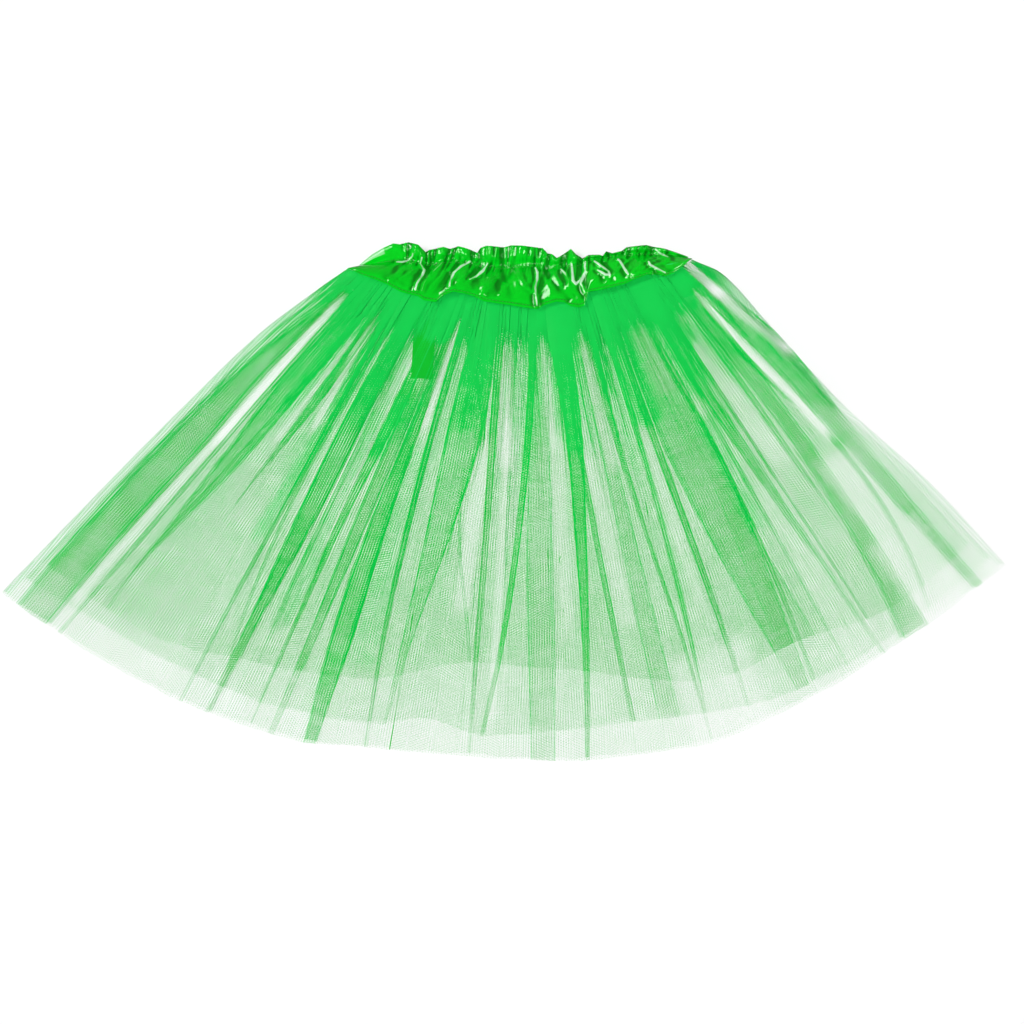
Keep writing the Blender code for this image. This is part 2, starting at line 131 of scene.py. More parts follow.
# Folds that show as dense strips, from left to right: the angle of the middle and the width in
# mm at the seam, a quarter, half and three quarters of the way down and at the outer hem, the
# way it leans, how crowded its net is, and the panels that fold there
Strip = namedtuple("Strip", "angles widths lean crowd panels")
STRIPS = [Strip(*row) for row in (
    ((-43.6, -45.9, -45.5, -45.0, -44.2), (6, 12, 22, 26, 28), 1, 0.75, "OF OB"),
    ((-42.3, -42.2, -41.9, -41.6, -41.5), (4, 3, 3, 3, 3), 1, 1.5, "OF"),
    ((-39.6, -40.2, -39.9, -40.3, -40.6), (12, 16, 13, 3, 0), -1, 0.85, "MF OB"),
    ((-38.2, -38.8, -39.6, -40.2, -39.6), (3, 2, 2, 2.5, 2.5), 1, 1.5, "IF"),
    ((-36.0, -35.6, -36.2, -36.3, -36.0), (6, 6, 1.5, 0, 0), 1, 1.4, "MB IF"),
    ((-33.8, -32.2, -31.3, -30.8, -30.2), (4, 3, 2.5, 2.5, 2.5), 1, 1.6, "OF MB"),
    ((-32.6, -31.6, -30.8, -29.4, -27.6), (3, 2.5, 2.5, 2.5, 2), -1, 1.5, "IB"),
    ((-28.8, -28.9, -28.3, -28.0, -27.8), (9, 13, 14, 8, 3), 1, 1.05, "OF MF OB"),
    ((-26.6, -26.4, -26.3, -26.0, -25.5), (3, 3, 3.5, 3, 2.5), 1, 1.5, "IF"),
    ((-22.9, -23.4, -24.2, -24.2, -24.2), (7, 8, 5, 2.5, 1.5), -1, 1.6, "MF OB"),
    ((-20.9, -21.4, -21.8, -22.0, -22.2), (6, 9, 10, 7, 4.5), 1, 1.0, "IB OF"),
    ((-18.9, -19.3, -19.6, -19.3, -18.9), (4, 7, 13, 16, 9), 1, 1.3, "OF OB"),
    ((-17.4, -8.2, -9.0, -9.0, -9.0), (4, 3.5, 0, 0, 0), 1, 2.0, "IF"),
    ((-16.4, -16.3, -15.9, -15.2, -14.2), (5, 4.5, 4, 3, 2.5), 1, 1.7, "OF MB"),
    ((-10.6, -10.8, -11.7, -12.7, -13.1), (14, 27, 20, 8, 0), 1, 1.15, "MF"),
    ((-11.6, -10.6, -9.2, -6.4, -5.2), (0, 0, 2, 2.5, 2), 1, 1.6, "IB"),
    ((-9.8, -7.9, -10.0, -10.0, -10.0), (3, 3.5, 1.5, 0, 0), -1, 1.8, "OF"),
    ((-7.0, -6.2, -5.6, -5.4, -5.2), (6, 6, 5, 4, 2.5), 1, 1.2, "MB OB"),
    ((-3.4, -3.0, -2.8, -2.6, -2.4), (4, 3, 2, 0, 0), 1, 1.2, "OF"),
    ((1.6, 0.2, -1.3, -2.8, -4.6), (6, 5.5, 5, 4, 3), -1, 1.6, "MF MB"),
    ((3.4, 2.2, 1.5, 1.4, 1.3), (8, 14, 20, 21, 19), 1, 0.55, "OF"),
    ((7.6, 8.0, 7.0, 6.1, 5.2), (18, 13, 9, 5, 3), -1, 1.1, "OF OB IF"),
    ((9.6, 8.6, 8.9, 9.4, 9.8), (5, 4, 4, 4, 3.5), 1, 1.2, "MF MB"),
    ((11.2, 10.8, 11.4, 11.6, 11.6), (4, 2.5, 1.5, 0, 0), 1, 1.3, "IB"),
    ((12.6, 12.8, 12.9, 12.9, 13.0), (8, 10, 12, 15, 17.5), 1, 0.6, "MF"),
    ((15.4, 14.8, 15.4, 16.1, 16.2), (9, 5, 3, 2.5, 2), 1, 1.5, "MF OB"),
    ((19.4, 18.6, 17.8, 17.0, 16.1), (5, 3.5, 3, 3, 0), -1, 1.9, "OF MB"),
    ((21.4, 20.8, 20.6, 20.4, 20.0), (6, 5.5, 5, 4, 3), 1, 1.5, "MF IB"),
    ((25.2, 25.2, 25.4, 25.3, 25.2), (14, 33, 37, 25, 9), 1, 0.4, "MF IB"),
    ((26.4, 26.4, 26.5, 26.6, 26.6), (3, 0, 8, 25, 34), 1, 0.45, "IF"),
    ((28.6, 28.9, 28.5, 27.6, 26.4), (4, 3, 3, 3, 3), -1, 1.8, "MB"),
    ((30.4, 30.2, 30.0, 29.8, 29.6), (4, 3, 3, 2.5, 2), 1, 1.3, "MF"),
    ((32.4, 31.8, 32.2, 32.7, 33.0), (9, 9, 6, 3, 2), 1, 1.4, "OB OF"),
    ((34.0, 33.8, 33.6, 33.6, 33.4), (4, 3, 2, 2, 2), 1, 1.2, "IB IF"),
    ((38.0, 37.6, 36.9, 36.6, 36.4), (4, 4, 3.5, 0, 0), 1, 1.4, "MF"),
    ((40.7, 39.8, 39.0, 37.8, 36.3), (10, 9, 10, 13, 22), -1, 0.6, "OF OB"),
    ((42.2, 40.9, 42.4, 41.3, 38.4), (4, 3.5, 3, 3, 3), -1, 1.5, "IF MB"),
    ((43.6, 45.2, 44.1, 43.4, 43.1), (7, 16, 14, 9, 6), -1, 0.55, "OF OB"),
)]
STRIP_STATIONS = (0.0, 0.25, 0.5, 0.75, 1.0)
# Degrees at each side of the fan that have no fold
SIDE_MARGIN = 2.0
# Room that folds leave each other; the shoulder past each turn and the slope back down, each
# with the largest share of the gap beside it; the width from which a fold crowds the net in
# full, and the width at which it rises to half its height
LEAST_ROOM = 1.6 * MM
LEAST_GAP = 0.2 * MM
FOLD_SHOULDER = 0.35 * MM
SHOULDER_SHARE = 0.2
FOLD_RAMP = 3.0 * MM
RAMP_SHARE = 0.5
FULL_FOLD = 1.5 * MM
HALF_RISEN = 1.0 * MM
# How far a fold sways across itself, as shares of its width and of its shoulder
FOLD_SWAY = (0.74, 0.42)
# Strips open towards the hem: from where, by how much, and how much fainter their creases get
FOOT_START = 0.7
FOOT_OPENING = 0.85
FOOT_CREASE = 0.6

# Small gathers between the strips, which run out a little way below the seam: their pitch and
# how uneven it is, their width and its spread, how far down they reach, and the share of them
# that leans to the right
GATHER_PITCH = 5.2 * MM
GATHER_JITTER = 0.25
GATHER_WIDTH = 3.4 * MM
GATHER_SPREAD = (0.7, 1.1)
GATHER_REACH = (0.1, 0.6)
GATHERS_RIGHT = 0.6

# Open and dense places of the net: a line down the fan from one angle and share down to
# another, its half width in mm, and how much of the thread shows along it
Zone = namedtuple("Zone", "angle0 down0 angle1 down1 width share")
ZONES = [Zone(*row) for row in (
    (-44.1, 0.06, -42.8, 0.45, 3.4, 0.12), (-42.9, 0.45, -42.4, 0.9, 2.8, 0.4),
    (-36.0, 0.04, -33.6, 0.34, 3.0, 0.35), (-34.5, 0.5, -34.0, 1.0, 22, 0.9),
    (-24.6, 0.12, -24.6, 0.55, 1.6, 0.6), (-18.0, 0.05, -17.9, 0.28, 2.6, 0.35),
    (-7.5, 0.32, -7.5, 0.66, 6, 0.55), (-3.6, 0.28, -3.4, 0.9, 3, 0.6),
    (34.6, 0.0, 34.8, 0.16, 4, 1.8), (41.7, 0.07, 42.4, 0.5, 3.4, 0.12),
    (41.0, 0.568, 40.6, 0.768, 15, 0.46), (44.9, 0.0, 45.2, 0.1, 5.0, 0.06),
    (-36.9, 0.15, -36.9, 0.4, 2.5, 0.5), (-5.0, 0.06, -3.6, 0.34, 6, 0.5),
    (3.8, 0.07, 4.2, 0.3, 3, 0.5), (4.8, 0.3, 4.4, 0.7, 5, 0.65), (10.4, 0.35, 10.8, 0.7, 6, 0.65),
    (13.2, 0.07, 13.4, 0.36, 5, 0.5), (19.6, 0.32, 19.0, 0.7, 4, 0.7),
    (26.4, 0.08, 26.2, 0.24, 6, 0.65), (32.0, 0.55, 31.5, 1.0, 14, 0.8),
    (-38.0, 0.0, -38.6, 0.32, 6, 1.5), (-33.0, 0.0, -32.4, 0.3, 5, 1.5),
    (-28.5, 0.0, -28.5, 0.3, 8, 1.3), (-23.4, 0.2, -23.6, 0.36, 6, 1.6),
    (-20.6, 0.0, -20.8, 0.3, 6, 1.5), (-25.5, 0.3, -25.6, 0.75, 8, 1.3),
    (-17.6, 0.35, -17.0, 0.8, 12, 1.35), (-11.4, 0.0, -11.2, 0.26, 8, 1.8),
    (7.2, 0.0, 7.6, 0.3, 8, 1.4), (16.4, 0.0, 15.6, 0.2, 4, 1.7), (20.4, 0.0, 20.8, 0.28, 9, 1.7),
    (30.4, 0.0, 30.2, 0.26, 5, 1.7), (29.2, 0.35, 28.8, 0.6, 9, 1.4),
    (-32.2, 0.35, -32.0, 0.6, 5, 1.6), (36.4, 0.3, 36.0, 1.0, 30, 0.95),
    (18.3, 0.82, 18.3, 1.0, 32, 0.62), (35.0, 0.19, 35.4, 0.5, 7, 0.66),
    (33.0, 0.0, 33.2, 0.26, 4, 1.5), (36.8, 0.0, 36.8, 0.26, 4, 1.3),
    (-19.4, 0.8, -19.0, 1.0, 8, 1.25), (45.4, 0.08, 46.5, 0.3, 4, 0.08),
    (46.0, 0.5, 45.6, 1.0, 10, 0.5), (40.4, 0.792, 39.9, 0.992, 22, 0.46),
)]
OVER_LABEL = Zone(-22.0, 0.1, -22.9, 0.22, 13, 0.3)
# Length over which a zone fades past its ends, as a share of its own, and the half width from
# which it fades sideways and over how much
ZONE_FADE = 0.12
ZONE_SIDES = (0.8, 0.4)

# How crowded the net is in creases, strips, small gathers and side folds and towards the hem
CREASE_CROWD = 3.0
STRIP_CROWD = 1.6
GATHER_CROWD = 1.3
EDGE_CROWD = 3.0
HEM_CROWD = 0.86
HEM_START = 0.65

# Share of the light that a thread stops; the rest shines through it
LIGHT_SHARE = 0.15

# Painted shade on the thread where the net isn't crowded, which makes it darker and yellower: the
# tint, and the crowding over which it goes
THIN_PAINTED_SHADE = (1.0, 0.82, 0.4)
THIN_CROWD = (0.9, 1.5)

# Crowding that the seam's gathers add: how much right at it and how far down it reaches, then
# the same for the fainter part that reaches further
SEAM_CROWD = (5.0, 0.12, 0.7, 0.5)

# Streaks down the net: their strength, their spacing in degrees, how far down the fine ones
# reach and how much of the others is left there
STREAKS = 0.4
STREAK_SPACING = (0.6, 1.5)
STREAK_REACH = 0.8
STREAK_REST = 0.15

# Rows of a panel, closer towards the seam; how far they go on under the waistband and sink
# there, and over how many degrees from the sides that starts
ROWS = 58
ROW_BIAS = 1.35
TUCK = -0.021
TUCK_SINK = 3.0 * MM
TUCK_SIDES = 6

# Unevenness of the hems: spacing in degrees and height. Soft waves of the net between the
# folds: spacing, slant, height and over how many degrees from the sides they start
HEM_WAVES = ((2.2, 0.9 * MM), (0.7, 0.4 * MM))
WAVE_SPACING = 2.6
WAVE_SLANT = 3
WAVE_HEIGHT = 0.9 * MM
WAVE_SIDES = 3

# Columns of the flat cloth between two folds: the share of the way, and whether the net runs
# with the fold before (0) or after (1)
FLAT_SHARES = (
    (0.05, 0), (0.12, 0), (0.2, 0), (0.3, 0), (0.4, 0), (0.485, 0), (0.515, 1), (0.6, 1),
    (0.7, 1), (0.8, 1), (0.88, 1), (0.95, 1),
)
NARROW_SHARES = ((0.46, 0), (0.54, 1))
SIDE_STEPS = 7
# Slant of the net on the cloth, and its shift with a panel's seed
NET_SKEW = 0.035
PLY_SHIFT = 0.37 * MM

# Where a fold has its columns: the part of it, from each side to a turn or between the turns,
# the share of that part, and how much of the crease it shows
FOLD_SHARES = (
    (0, 0.0, 0), (0, 0.35, 0), (0, 0.65, 0), (0, 0.85, 0.6), (0, 0.97, 1), (0, 1.0, 1),
    (1, 0.06, 1), (1, 0.18, 0.3), (1, 0.34, 0), (1, 0.5, 0), (1, 0.66, 0), (1, 0.82, 0.3),
    (1, 0.94, 1), (1, 1.0, 1), (2, 0.03, 1), (2, 0.08, 0.6), (2, 0.35, 0), (2, 0.65, 0),
    (2, 1.0, 0),
)
GATHER_SHARES = (
    (0, 0.0, 0), (0, 0.6, 0), (0, 1.0, 0.4), (1, 0.35, 0), (1, 0.65, 0), (1, 1.0, 0.4),
    (2, 0.4, 0), (2, 1.0, 0),
)
# Columns of the slope beside a strip and beside a gather
STRIP_RAMP = 3
GATHER_RAMP = 2

# Waistband, as in its solids: a straight line along the elastic, the header above it and the
# yoke below it
WAIST_LEFT = Vector((-99.8 * MM, 187.43 * MM))
WAIST_RIGHT = Vector((145.2 * MM, 194.43 * MM))
SATIN_WALL = 1.2 * MM
SATIN_FLOOR = 0.65 * MM

# Heights over the band from the header (-1) over the elastic (0) to the seam (1), in mm
FRONT_LIFT = ((-1.0, 4.0), (-0.45, 4.2), (0.0, 3.4), (0.2, 9.0), (0.4, 15.2), (0.6, 21.0),
              (0.8, 25.6), (0.9, 26.6), (1.0, 26.9))
FRONT_PUFF = ((-1.0, 5.0), (-0.45, 5.0), (0.0, 1.6), (0.12, 2.6), (0.38, 3.6), (0.62, 2.2),
              (0.78, 0.8), (1.0, 0.4))
BACK_PUFF = ((-1.0, 3.4), (-0.45, 4.0), (0.0, 1.6), (0.12, 2.2), (0.38, 2.6), (0.62, 1.6),
             (0.78, 0.6), (1.0, 0.0))

# Top of the header and line of the elastic, in mm above the straight line, by place along it
HEADER_TOP = (
    (0.0, 0.0), (0.02, 6.8), (0.04, 11.4), (0.06, 14.6), (0.073, 13.4), (0.102, 14.8),
    (0.134, 12.2), (0.157, 6.6), (0.169, 8.3), (0.214, 10.1), (0.227, 9.2), (0.236, 8.6),
    (0.262, 10.5), (0.304, 7.1), (0.323, 5.0), (0.333, 8.7), (0.351, 9.9), (0.41, 8.7),
    (0.431, 10.1), (0.47, 9.1), (0.534, 7.1), (0.548, 3.0), (0.562, 2.2), (0.578, -1.1),
    (0.585, -0.3), (0.604, 2.7), (0.623, 5.7), (0.639, 1.6), (0.661, -1.7), (0.681, 0.6),
    (0.716, 0.3), (0.725, -0.5), (0.737, 3.3), (0.757, 1.6), (0.786, 3.0), (0.802, 6.0),
    (0.84, 6.5), (0.866, 7.1), (0.898, 5.3), (0.93, 3.5), (0.968, 0.3), (1.0, -2.8),
)
ELASTIC_LINE = (
    (0.0, 0.5), (0.08, 1.6), (0.169, -2.4), (0.233, -0.2), (0.323, -4.0), (0.393, -6.6),
    (0.441, -6.0), (0.505, -5.6), (0.553, -7.7), (0.598, -5.9), (0.633, -6.4), (0.681, -2.8),
    (0.713, -2.2), (0.751, 0.4), (0.793, 0.6), (0.9, 0.5), (0.96, -1.2), (1.0, -4.2),
)
# Left end of the band: how far along it reaches, how far the header leans out there, and how
# far it all lies out and down
END_REACH = 0.07
HEADER_SLOPE = 6.0 * MM
END_SHIFT = (8.0 * MM, 2.6 * MM)

# How far the yoke's edge hangs past the start of the tulle, in mm, by place along the seam
SEAM_LAP = (
    (0.0, 0.6), (0.035, 0.6), (0.069, -0.6), (0.102, -0.4), (0.143, 2.0), (0.19, 2.2),
    (0.209, 4.6), (0.24, 4.2), (0.252, -2.2), (0.274, -6.4), (0.307, -6.0), (0.339, -4.6),
    (0.372, -1.5), (0.449, -1.1), (0.494, -0.2), (0.533, 1.0), (0.555, -1.8), (0.593, -3.2),
    (0.616, -1.7), (0.632, 2.2), (0.656, 4.6), (0.672, 4.0), (0.694, -5.8), (0.745, -5.3),
    (0.808, -5.0), (0.835, -6.0), (0.876, -6.0), (0.897, -3.4), (0.914, 1.2), (0.935, 1.8),
    (1.0, -1.0),
)

# Puffs that the elastic gathers, from left to right along the waist, as shares of its length
PUFFS = (
    (0.09, 0.17, 1.0), (0.17, 0.25, 0.8), (0.25, 0.32, 0.9), (0.32, 0.41, 1.0),
    (0.41, 0.54, 0.9), (0.54, 0.6, 0.7), (0.6, 0.66, 0.7), (0.66, 0.75, 1.0),
    (0.75, 0.8, 0.6), (0.8, 0.89, 1.0), (0.89, 0.95, 0.6),
)

# Creases in the front satin: height and half width in mm, then x and y in mm of the points
# that each one runs through
Ridge = namedtuple("Ridge", "height width line")
RIDGES = [Ridge(height, width, np.reshape(line, (-1, 2)) * MM) for height, width, *line in (
    (1.2, 1.3, -70.7, 195.7, -71.6, 191.7, -75.2, 188.3, -79.7, 186.9, -86.0, 186.9),
    (1.5, 1.2, -63.5, 192.1, -65.3, 185.8, -62.1, 180.4, -63.5, 175.9, -67.5, 168.8, -69.1,
     161.6),
    (0.8, 1.6, -69.8, 187.6, -79.7, 179.1, -90.0, 169.7),
    (-0.8, 2.2, -73.4, 184.9, -77.0, 176.8, -82.4, 169.7),
    (1.0, 1.5, -46.4, 188.5, -55.4, 178.6, -61.7, 169.7, -64.2, 160.7),
    (-0.8, 1.8, -51.8, 187.6, -58.1, 181.3, -62.6, 173.2),
    (0.9, 1.2, -36.3, 195.7, -37.2, 190.3, -42.4, 182.2, -44.2, 178.6),
    (1.4, 1.2, -24.4, 188.5, -32.9, 183.6, -39.0, 177.7, -41.5, 170.6, -42.5, 164.3),
    (1.4, 1.1, -11.5, 187.6, -15.9, 180.0, -21.2, 175.0, -28.0, 171.3),
    (0.7, 0.9, -54.5, 197.5, -56.3, 192.1),
    (0.7, 1.0, -55.4, 188.1, -52.3, 187.2),
    (0.7, 0.9, -46.9, 198.0, -45.5, 190.8),
    (0.7, 0.9, -28.9, 194.4, -29.3, 190.3, -32.0, 187.4),
    (0.8, 1.0, -21.7, 195.7, -20.3, 187.2),
    (0.7, 0.9, -8.8, 193.0, -8.1, 188.1),
    (0.6, 0.9, -2.4, 183.0, 0.8, 183.5),
    (0.9, 1.6, -5.1, 173.2, -14.1, 167.0, -17.2, 158.0),
    (0.7, 1.6, 2.1, 170.6, 0.3, 164.3, -3.3, 157.1),
    (0.9, 1.2, 16.6, 196.3, 18.6, 190.7, 18.6, 183.8),
    (0.8, 1.0, 30.1, 194.9, 28.7, 190.3, 27.2, 189.3, 28.1, 186.6),
    (1.6, 1.1, 24.1, 184.1, 26.7, 178.7, 26.3, 172.3, 24.9, 165.8, 25.4, 157.5, 26.3, 149.0),
    (0.9, 1.4, 11.7, 183.8, 11.9, 176.9, 15.6, 169.5, 23.5, 160.7),
    (0.8, 1.0, 52.4, 196.7, 55.8, 191.7, 55.4, 188.0),
    (1.2, 1.1, 43.8, 182.9, 48.0, 177.8, 50.5, 172.3, 51.0, 166.0),
    (1.4, 1.0, 53.3, 187.5, 54.0, 177.8, 54.4, 171.3, 56.5, 168.7, 59.2, 171.3, 61.3, 175.5),
    (1.5, 1.1, 64.6, 189.3, 63.7, 183.3, 64.2, 179.6, 61.8, 173.2, 60.2, 169.5, 62.0, 164.9,
     63.8, 159.8),
    (1.5, 1.0, 69.9, 188.7, 75.7, 183.8, 82.1, 178.7, 82.9, 175.8, 79.6, 175.8, 71.8, 180.7),
    (0.9, 1.0, 81.4, 192.8, 80.3, 189.3, 78.3, 186.8),
    (1.4, 1.1, 88.4, 190.3, 91.4, 187.0, 95.1, 179.6, 98.0, 173.9),
    (0.8, 1.2, 88.6, 192.6, 94.1, 190.3, 99.5, 186.3),
    (1.3, 1.2, 112.6, 188.1, 114.5, 183.3, 120.9, 179.6, 127.6, 175.8),
    (1.3, 1.2, 118.0, 198.3, 122.8, 194.0, 130.9, 189.6),
    (0.9, 1.0, 129.3, 196.3, 137.1, 191.8),
    (0.7, 1.0, 97.8, 194.0, 98.6, 191.2),
    (-1.0, 1.8, 30.9, 183.3, 36.0, 174.1, 42.4, 165.8, 52.6, 153.8),
    (0.9, 1.2, 54.4, 165.8, 58.1, 160.2, 58.8, 154.5),
    (0.8, 1.4, 37.8, 181.5, 41.5, 174.1, 47.0, 167.6),
    (-0.7, 1.6, 67.4, 181.5, 72.9, 175.0, 78.4, 172.3),
    (0.8, 1.5, 98.8, 174.1, 106.2, 177.3, 117.2, 176.7),
)]
# What the heights and the widths are multiplied by, and the length over which the ends fade
RIDGE_SCALE = 1.2
RIDGE_BREADTH = 1.6
RIDGE_FADE = 2.5 * MM

# Painted highlight along the creases, from where to where its mark brings it up and how far
PAINTED_HIGHLIGHT_WIDTH = 1.5 * MM
PAINTED_HIGHLIGHT_COLOUR = (0.62, 0.9, 0.66)
PAINTED_HIGHLIGHT_MARKS = (0.42, 0.68)
PAINTED_HIGHLIGHT_PEAK = 0.9
# Height in mm from which a crease has painted highlight, how much more is in full, its spots'
# length
PAINTED_HIGHLIGHT_HEIGHTS = (0.6, 0.8)
PAINTED_HIGHLIGHT_SPOTS = 5.0 * MM
# Sheer strip at the left end, painted paler with part of the painted highlight's colour: how far
# along it reaches, where it starts above the elastic, over how much each of them fades, and its
# mark
SHEER_END = 0.05
SHEER_FOOT = -0.42
SHEER_FADE = (0.008, 0.1)
SHEER_MARK = 0.54
# Painted shade in the hollows: depth of a full one, columns to each side that count, and their
# shade
HOLLOW_DEPTH = 0.5 * MM
HOLLOW_REACH = 8
HOLLOW_SHADE = 0.4
# Painted shade along the seam and the elastic: how much of the hollows' shade it is, its half
# width in mm at the seam, then at the elastic its half width and spacing as shares of the band
SEAM_SHADE = 0.7
SEAM_LINE_MM = 0.5
ELASTIC_LINE_WIDTH = 0.035
ELASTIC_LINE_SPACING = 0.006

# Gathers of the satin, as shares of the waist: where they start and where they end, each with
# the length over which they do, then the spacings of the sharp pleats and the fine ones on them
# and of the broad swells and the fine ones on them; and the swells' height
GATHERS_FROM = (0.05, 0.05)
GATHERS_TO = (0.97, 0.04)
PLEAT_SPACING = (0.016, 0.0062)
SWELL_SPACING = (0.034, 0.016)
SWELL_HEIGHT = 1.3 * MM
# Rolled top of the header: where it starts, and its drop in front and behind
ROLL_START = 0.62
ROLL_DROP = (2.6 * MM, 0.8 * MM)
BACK_TRIM = 1.2 * MM
# Least height of the front above the back
FRONT_CLEAR = 0.35 * MM

# Columns of the band, and the row along which its cloth is measured
BAND_COLUMNS = 520
UV_ROW = 30
# Length of the yoke in mm
YOKE_MM = 36
# Stitch lines, in mm up from the seam or from the elastic, and the depth of the seam's groove
# with its half width in mm
SEAM_STITCH_IN = 2.3
ELASTIC_STITCH_IN = -2.2
GROOVE_DEPTH = 0.25 * MM
GROOVE_MM = 0.8
# Stitches
STITCH_PITCH = 2.6 * MM
STITCH_LENGTH = 1.9 * MM
STITCH_WIDTH = 0.45 * MM
STITCH_RAISE = 0.1 * MM

# Care label, as in its solid
LABEL_TOP = Vector((-60.8 * MM, 154.9 * MM))
LABEL_SIZE = (17.0 * MM, 60.0 * MM)
LABEL_LEAN = 3.0
LABEL_HEIGHT = 13.3 * MM
# Its soft bend: share of the length, slant, reach and height; and the arch across it
LABEL_BEND = (0.62, 0.8, 2.2 * MM, 0.35 * MM)
LABEL_ARCH = 0.15 * MM

# Satin: shares of its colour at its darkest and its palest, and how far its roughness varies.
# Thread: the share of its colour between two twists
CLOUD_SHADES = (0.86, 1.1)
ROUGHNESS_SPREAD = 0.03
TWIST_SHADE = 0.7

# Lights: name, tilt from straight down, turn about the vertical, spread and strength. The suns
# only light the cloth and the soft boxes only show as highlights on it.
SUNS = (("overhead light", 3.0, -8.0, 3.0, 2.3), ("side light", 48.0, -110.0, 8.0, 1.0))
SOFT_BOXES = (
    ("high soft box", 44.0, -96.0, 26.0, 4.0), ("middle soft box", 56.0, -126.0, 26.0, 4.0),
    ("low soft box", 74.0, -146.0, 26.0, 4.0), ("right soft box", 50.0, 100.0, 22.0, 1.2),
)

# Floor, the world's faint light, and plies of net that a ray may pass
FLOOR_REACH = 30.0
FLOOR_DROP = 0.5 * MM
WORLD_STRENGTH = 0.16
NET_PASSES = 96

# Camera
PHOTO_PIXELS = 1024
PIXEL = 0.783 * MM
IMAGE_CENTRE = Vector((8.5 * PIXEL, -12.0 * PIXEL))
LENS_MM = 100.0
SENSOR_MM = 36.0


def mix(start, end, share):
    return start + (end - start) * share


def smooth_step(value):
    value = np.clip(value, 0.0, 1.0)
    return value * value * (3 - 2 * value)


def smooth_curve(rows, places):
    """Values at the places on the smooth curve through rows of (place, value)."""
    x, y = np.array(rows, dtype=float).T
    places = np.clip(places, x[0], x[-1])
    index = np.clip(np.searchsorted(x, places, side="right") - 1, 0, len(x) - 2)
    ahead = np.minimum(np.arange(len(x)) + 1, len(x) - 1)
    behind = np.maximum(np.arange(len(x)) - 1, 0)
    slopes = (y[ahead] - y[behind]) / (x[ahead] - x[behind])
    span = x[index + 1] - x[index]
    share = (places - x[index]) / span
    rest = 1 - share
    ends = y[index] * rest**2 * (1 + 2 * share) + y[index + 1] * share**2 * (1 + 2 * rest)
    bends = slopes[index] * share * rest**2 - slopes[index + 1] * share**2 * rest
    return ends + bends * span


def ripple(places, spacing, seed, swing=1.0):
    """Smooth unevenness along one direction, the same in each run."""
    knots = np.random.default_rng(seed).uniform(-swing, swing, 4096)
    scaled = np.asarray(places) / spacing + 2048
    index = np.floor(scaled).astype(int)
    share = smooth_step(scaled - index)
    return mix(knots[index % 4096], knots[(index + 1) % 4096], share)


def bell(value, width):
    """1 at 0, and down on both sides to almost nothing at twice the width."""
    return np.exp(-(value / width) ** 2)


def spans(points, axis=0):
    """Distances between neighbouring points."""
    return np.linalg.norm(np.diff(points, axis=axis), axis=-1)


def panel_radius(hem, angle, down):
    """Distance from the fan's centre, down a panel from the waist seam (0) to its hem (1)."""
    return mix(smooth_curve(WAIST_SEAM, angle), smooth_curve(hem, angle), down) * MM


def turn_per_metre(radius):
    """Degrees of turn about the fan's centre for each metre along an arc."""
    return 1 / radians(1) / radius


def from_sides(angle, reach):
    """0 at the two sides of the fan and 1 from reach degrees in from them."""
    return smooth_step((angle - LEFT_EDGE) / reach) * smooth_step((RIGHT_EDGE - angle) / reach)


def bowed(angle, down):
    """The angle with the fan's two sides bowed outwards."""
    leftness = np.maximum(angle / LEFT_EDGE, 0) ** BOW_FADE
    rightness = np.maximum(angle / RIGHT_EDGE, 0) ** BOW_FADE
    return (angle - smooth_curve(BOW_LEFT, down) * leftness
            + smooth_curve(BOW_RIGHT, down) * rightness)


def fan_places(angle, radius):
    """x and y of places given about the centre of the fan."""
    turn = np.radians(angle)
    return FAN_CENTRE.x + np.sin(turn) * radius, FAN_CENTRE.y - np.cos(turn) * radius


def panel_floor(panel):
    """Height of the lowest ply of a panel, from its solid."""
    low, high = (Vector(corner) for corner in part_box(panel.node))
    if panel.is_front:
        return high.z - FOLD_HEIGHT - WALL / 2
    return low.z + WALL / 2


def row_shares():
    """How far down each row of a panel lies; the first ones are under the waistband."""
    shares = (np.arange(ROWS) / (ROWS - 1)) ** ROW_BIAS
    return np.concatenate([[TUCK * 1.0, TUCK * 0.5], shares])


# One fold down a panel: its angle and width at every row, the way it leans, how crowded its net
# is, and whether it is a strip and not a small gather
Track = namedtuple("Track", "angle width lean crowd is_strip")


def unbowed(angle, down):
    """The angle that bowed brings to the given one."""
    guess = angle
    for _ in range(6):
        guess = guess - 0.7 * (bowed(guess, down) - angle)
    return np.clip(guess, LEFT_EDGE + 0.4, RIGHT_EDGE - 0.4)


def strip_track(strip, panel, downs):
    """The strip's fold down a panel, which ends at its own hem."""
    middle = strip.angles[2]
    reach = smooth_curve(panel.hem, middle) - smooth_curve(WAIST_SEAM, middle)
    full = smooth_curve(OUTER_HEM, middle) - smooth_curve(WAIST_SEAM, middle)
    downs = np.clip(downs, 0, 1)
    places = downs * reach / full
    angle = smooth_curve(list(zip(STRIP_STATIONS, strip.angles)), places)
    width = smooth_curve(list(zip(STRIP_STATIONS, strip.widths)), places)
    return Track(unbowed(angle, downs), np.maximum(width, 0) * MM, strip.lean, strip.crowd,
                 True)


